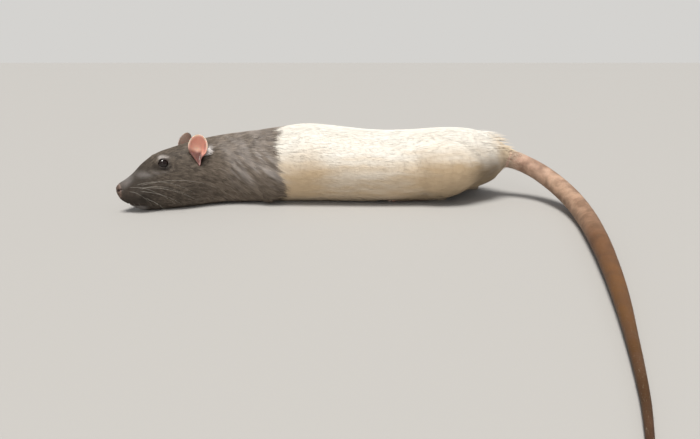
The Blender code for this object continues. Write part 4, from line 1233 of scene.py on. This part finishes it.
# Heel or wrist, turn in degrees, sole, toes' lengths, spread in radians, toes' row, toe's radius and claw;
# lengths in millimetres
Foot = namedtuple("Foot", "heel turn sole toes spread row toe_radius claw")
FEET = {
    "hind_foot_left": Foot((54.0, -7.5), 181.0, 26.0, (5.6, 8.8, 9.4, 9.0, 6.4), 0.21, 1.496, 1.25, 2.2),
    "hind_foot_right": Foot((80.0, 20.0), 163.0, 26.0, (5.6, 8.8, 9.4, 9.0, 6.4), 0.21, 1.496, 1.25, 2.2),
    "fore_paw_left": Foot((-60.0, -5.5), 194.0, 8.0, (5.4, 6.6, 6.6, 5.2), 0.27, 1.615, 1.05, 1.6),
    "fore_paw_right": Foot((-72.0, 20.0), 178.0, 8.0, (5.4, 6.6, 6.6, 5.2), 0.27, 1.615, 1.05, 1.6),
}
for name, form in FEET.items():
    foot = merged_copy(name, f"foot_{name}")
    apply_modifier(foot, "REMESH", mode="VOXEL", voxel_size=0.3 * MM, use_smooth_shade=True)
    apply_modifier(foot, "SMOOTH", factor=0.5, iterations=4)
    foot.data.materials.clear()
    foot.data.materials.append(foot_paint)
    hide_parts(name)
    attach(foot, "root")
    ahead = np.array([math.cos(math.radians(form.turn)), math.sin(math.radians(form.turn)), -0.1])

    def from_heel(points, form=form, ahead=ahead):
        return (points - np.array((*form.heel, 0.0)) * MM) @ ahead / MM

    store(foot, "hock", 1.0 - ease(form.sole * 0.2, form.sole * 0.5, from_heel(points_of(foot))))

    def back_of_foot(middle, facing, form=form, from_heel=from_heel):
        towards_toes = ease(form.sole * 0.8, form.sole * 1.2, from_heel(middle))
        return 7.0 * ease(0.05, 0.45, facing[:, 2]) * (1.0 - 0.75 * towards_toes)

    def forwards(points, ahead=ahead):
        return np.repeat(ahead[None], len(points), 0)

    def heel(middle, facing, form=form, ahead=ahead, from_heel=from_heel):
        sides = (facing[:, 2] > -0.6) & (facing @ ahead > -0.75)
        return 13.0 * sides * (1.0 - ease(form.sole * 0.15, form.sole * 0.5, from_heel(middle)))

    pale_tone = tone(stain_and_shade=0.35, pale=0.2)
    hairs = short_hairs(f"hairs_{name}", foot, back_of_foot, forwards, (1.5, 0.15, 0.10), pale_tone)
    # The hind heels' hairs are darkened by painted shade; the fore wrists' hairs have the hood's dark colour.
    heel_tone = tone(stain_and_shade=0.8, dark_and_shade=0.30) if "hind" in name else tone(hood=1.0, dark_and_shade=0.1)
    hairs = short_hairs(f"hairs_heel_{name}", foot, heel, forwards, (2.2, 0.25, 0.15), heel_tone)

# %% Claws
CLAW_STEPS = 7
HORN_DARK, HORN_PALE = (0.62, 0.46, 0.36), (0.80, 0.70, 0.58)
horn_paint, _ = flecked("horn_paint", 0.35, 1600.0, HORN_DARK, HORN_PALE)
paths, radii = [], []
for form in FEET.values():
    turn = math.radians(form.turn)
    forward = Vector((math.cos(turn), math.sin(turn), 0.0))
    aside = Vector((-math.sin(turn), math.cos(turn), 0.0))
    knuckles = Vector((*form.heel, form.toe_radius + 0.1)) + forward * (form.sole * 0.9)
    for number, length in enumerate(form.toes):
        offset = number - (len(form.toes) - 1) / 2
        fan = turn + offset * form.spread
        ahead = Vector((math.cos(fan), math.sin(fan), 0.0))
        root = knuckles + aside * (offset * form.row)
        path = []
        for step in range(CLAW_STEPS):
            share = step / (CLAW_STEPS - 1)
            reach = length * 0.84 + (form.claw + 1.2) * share
            rise = 0.55 * math.sin(math.pi * min(1.0, 0.15 + share)) - 0.75 * share
            path.append((root + ahead * reach + Vector((0.0, 0.0, rise))) * MM)
        paths.append(path)
        radii.append(0.62 * MM)
claws = hair_tubes("claws", paths, radii, 10, horn_paint)
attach(claws, "root")
print("claws:", len(paths))

# %% [markdown]
# ## Whiskers
#
# Whiskers grow in rows on the swollen pads beside the nose. Each is a stiff tapering hair that leaves the pad
# outwards, sweeps back along the cheek and droops at its tip.

# %% Whiskers
FRAME_WIDTH, FRAME_HEIGHT = 700, 439
FOCAL_PIXELS = FOCAL_LENGTH / 36.0 * FRAME_WIDTH
# Where whiskers are seen in the picture: root, middle and end in pixels
Whisker = namedtuple("Whisker", "root middle end")
WHISKERS = (
    Whisker((137, 188.5), (172, 190.5), (206, 205.5)),
    Whisker((134, 186), (166, 182.5), (196, 194.5)),
    Whisker((139, 186), (184, 180.5), (221, 190.0)),
    Whisker((133, 191), (165, 196.0), (187, 209.0)),
    Whisker((131, 194.5), (153, 201.5), (168, 213.0)),
    Whisker((129, 192), (139, 194.5), (152, 205.0)),
    Whisker((140, 190), (163, 187.0), (193, 197.5)),
    Whisker((129, 188), (150, 190.0), (176, 204.0)),
    Whisker((135, 201.5), (140, 205.0), (143, 211.5)),
    Whisker((133, 203.5), (135, 205.5), (136, 208.5)),
)
WHISKER_STEPS = 10
WHISKER_RADIUS = 0.065 * MM
WHISKER_PALE, WHISKER_DARK = (0.52, 0.49, 0.43), (0.24, 0.21, 0.18)
whisker_paint, _ = flecked("whisker_paint", 0.35, 300.0, WHISKER_PALE, WHISKER_DARK)


def seen_at(pixel, stand_off):
    """The place on the skin or the floor that shows at a pixel, moved some millimetres towards the camera."""
    x, y = (pixel[0] - FRAME_WIDTH / 2) / FOCAL_PIXELS, (FRAME_HEIGHT / 2 - pixel[1]) / FOCAL_PIXELS
    turn = Matrix.Rotation(math.radians(90.0 - CAMERA_TILT), 3, "X")
    ray = (turn @ Vector((x, y, -1.0))).normalized()
    eye = Vector(CAMERA_PLACE)
    found = surface.ray_cast(eye, ray)[0]
    if found is None:
        found = eye + ray * (eye.z / -ray.z)
    return found - ray * (stand_off * MM)


def mirrored(point):
    """The same place on the other side of the head."""
    along, out, _ = measure(np.array([point]))
    return spot(along[0] / MM, -out[0] / MM, point.z / MM)


def curve(start, middle, end):
    """A row of points on the smooth bow through three points, all above the floor."""
    control = middle * 2.0 - (start + end) / 2
    path = []
    for i in range(WHISKER_STEPS + 1):
        t = i / WHISKER_STEPS
        point = start * (1 - t) ** 2 + control * (2 * t * (1 - t)) + end * t**2
        point.z = max(point.z, 0.15 * MM)
        path.append(point)
    return path


BACKWARD = Vector((math.cos(HEAD_HEADING), math.sin(HEAD_HEADING), 0.0))
FAR_SIDE = Vector((-math.sin(HEAD_HEADING), math.cos(HEAD_HEADING), 0.0))
paths, radii = [], []
for number, one in enumerate(WHISKERS):
    start = seen_at(one.root, -0.3)
    far = (seen_at(one.end, 0.0) - start).length / MM
    middle = seen_at(one.middle, 0.5 + 0.15 * far)
    end = seen_at(one.end, 0.32 * far)
    paths.append(curve(start, middle, end))
    start = mirrored(start)
    length = (0.9 * far + 3.0) * MM
    out = FAR_SIDE * (length * (0.34 + 0.05 * (number % 3)))
    middle = start + BACKWARD * (length * 0.42) + out * 0.62 + Vector((0.0, 0.0, length * 0.02))
    end = start + BACKWARD * (length * 0.86) + out - Vector((0.0, 0.0, min(length * 0.16, start.z * 0.8)))
    paths.append(curve(start, middle, end))
    radii += [WHISKER_RADIUS, WHISKER_RADIUS]
whiskers = hair_tubes("whiskers", paths, radii, 5, whisker_paint)
print("whiskers:", len(paths))
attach(whiskers, "root")
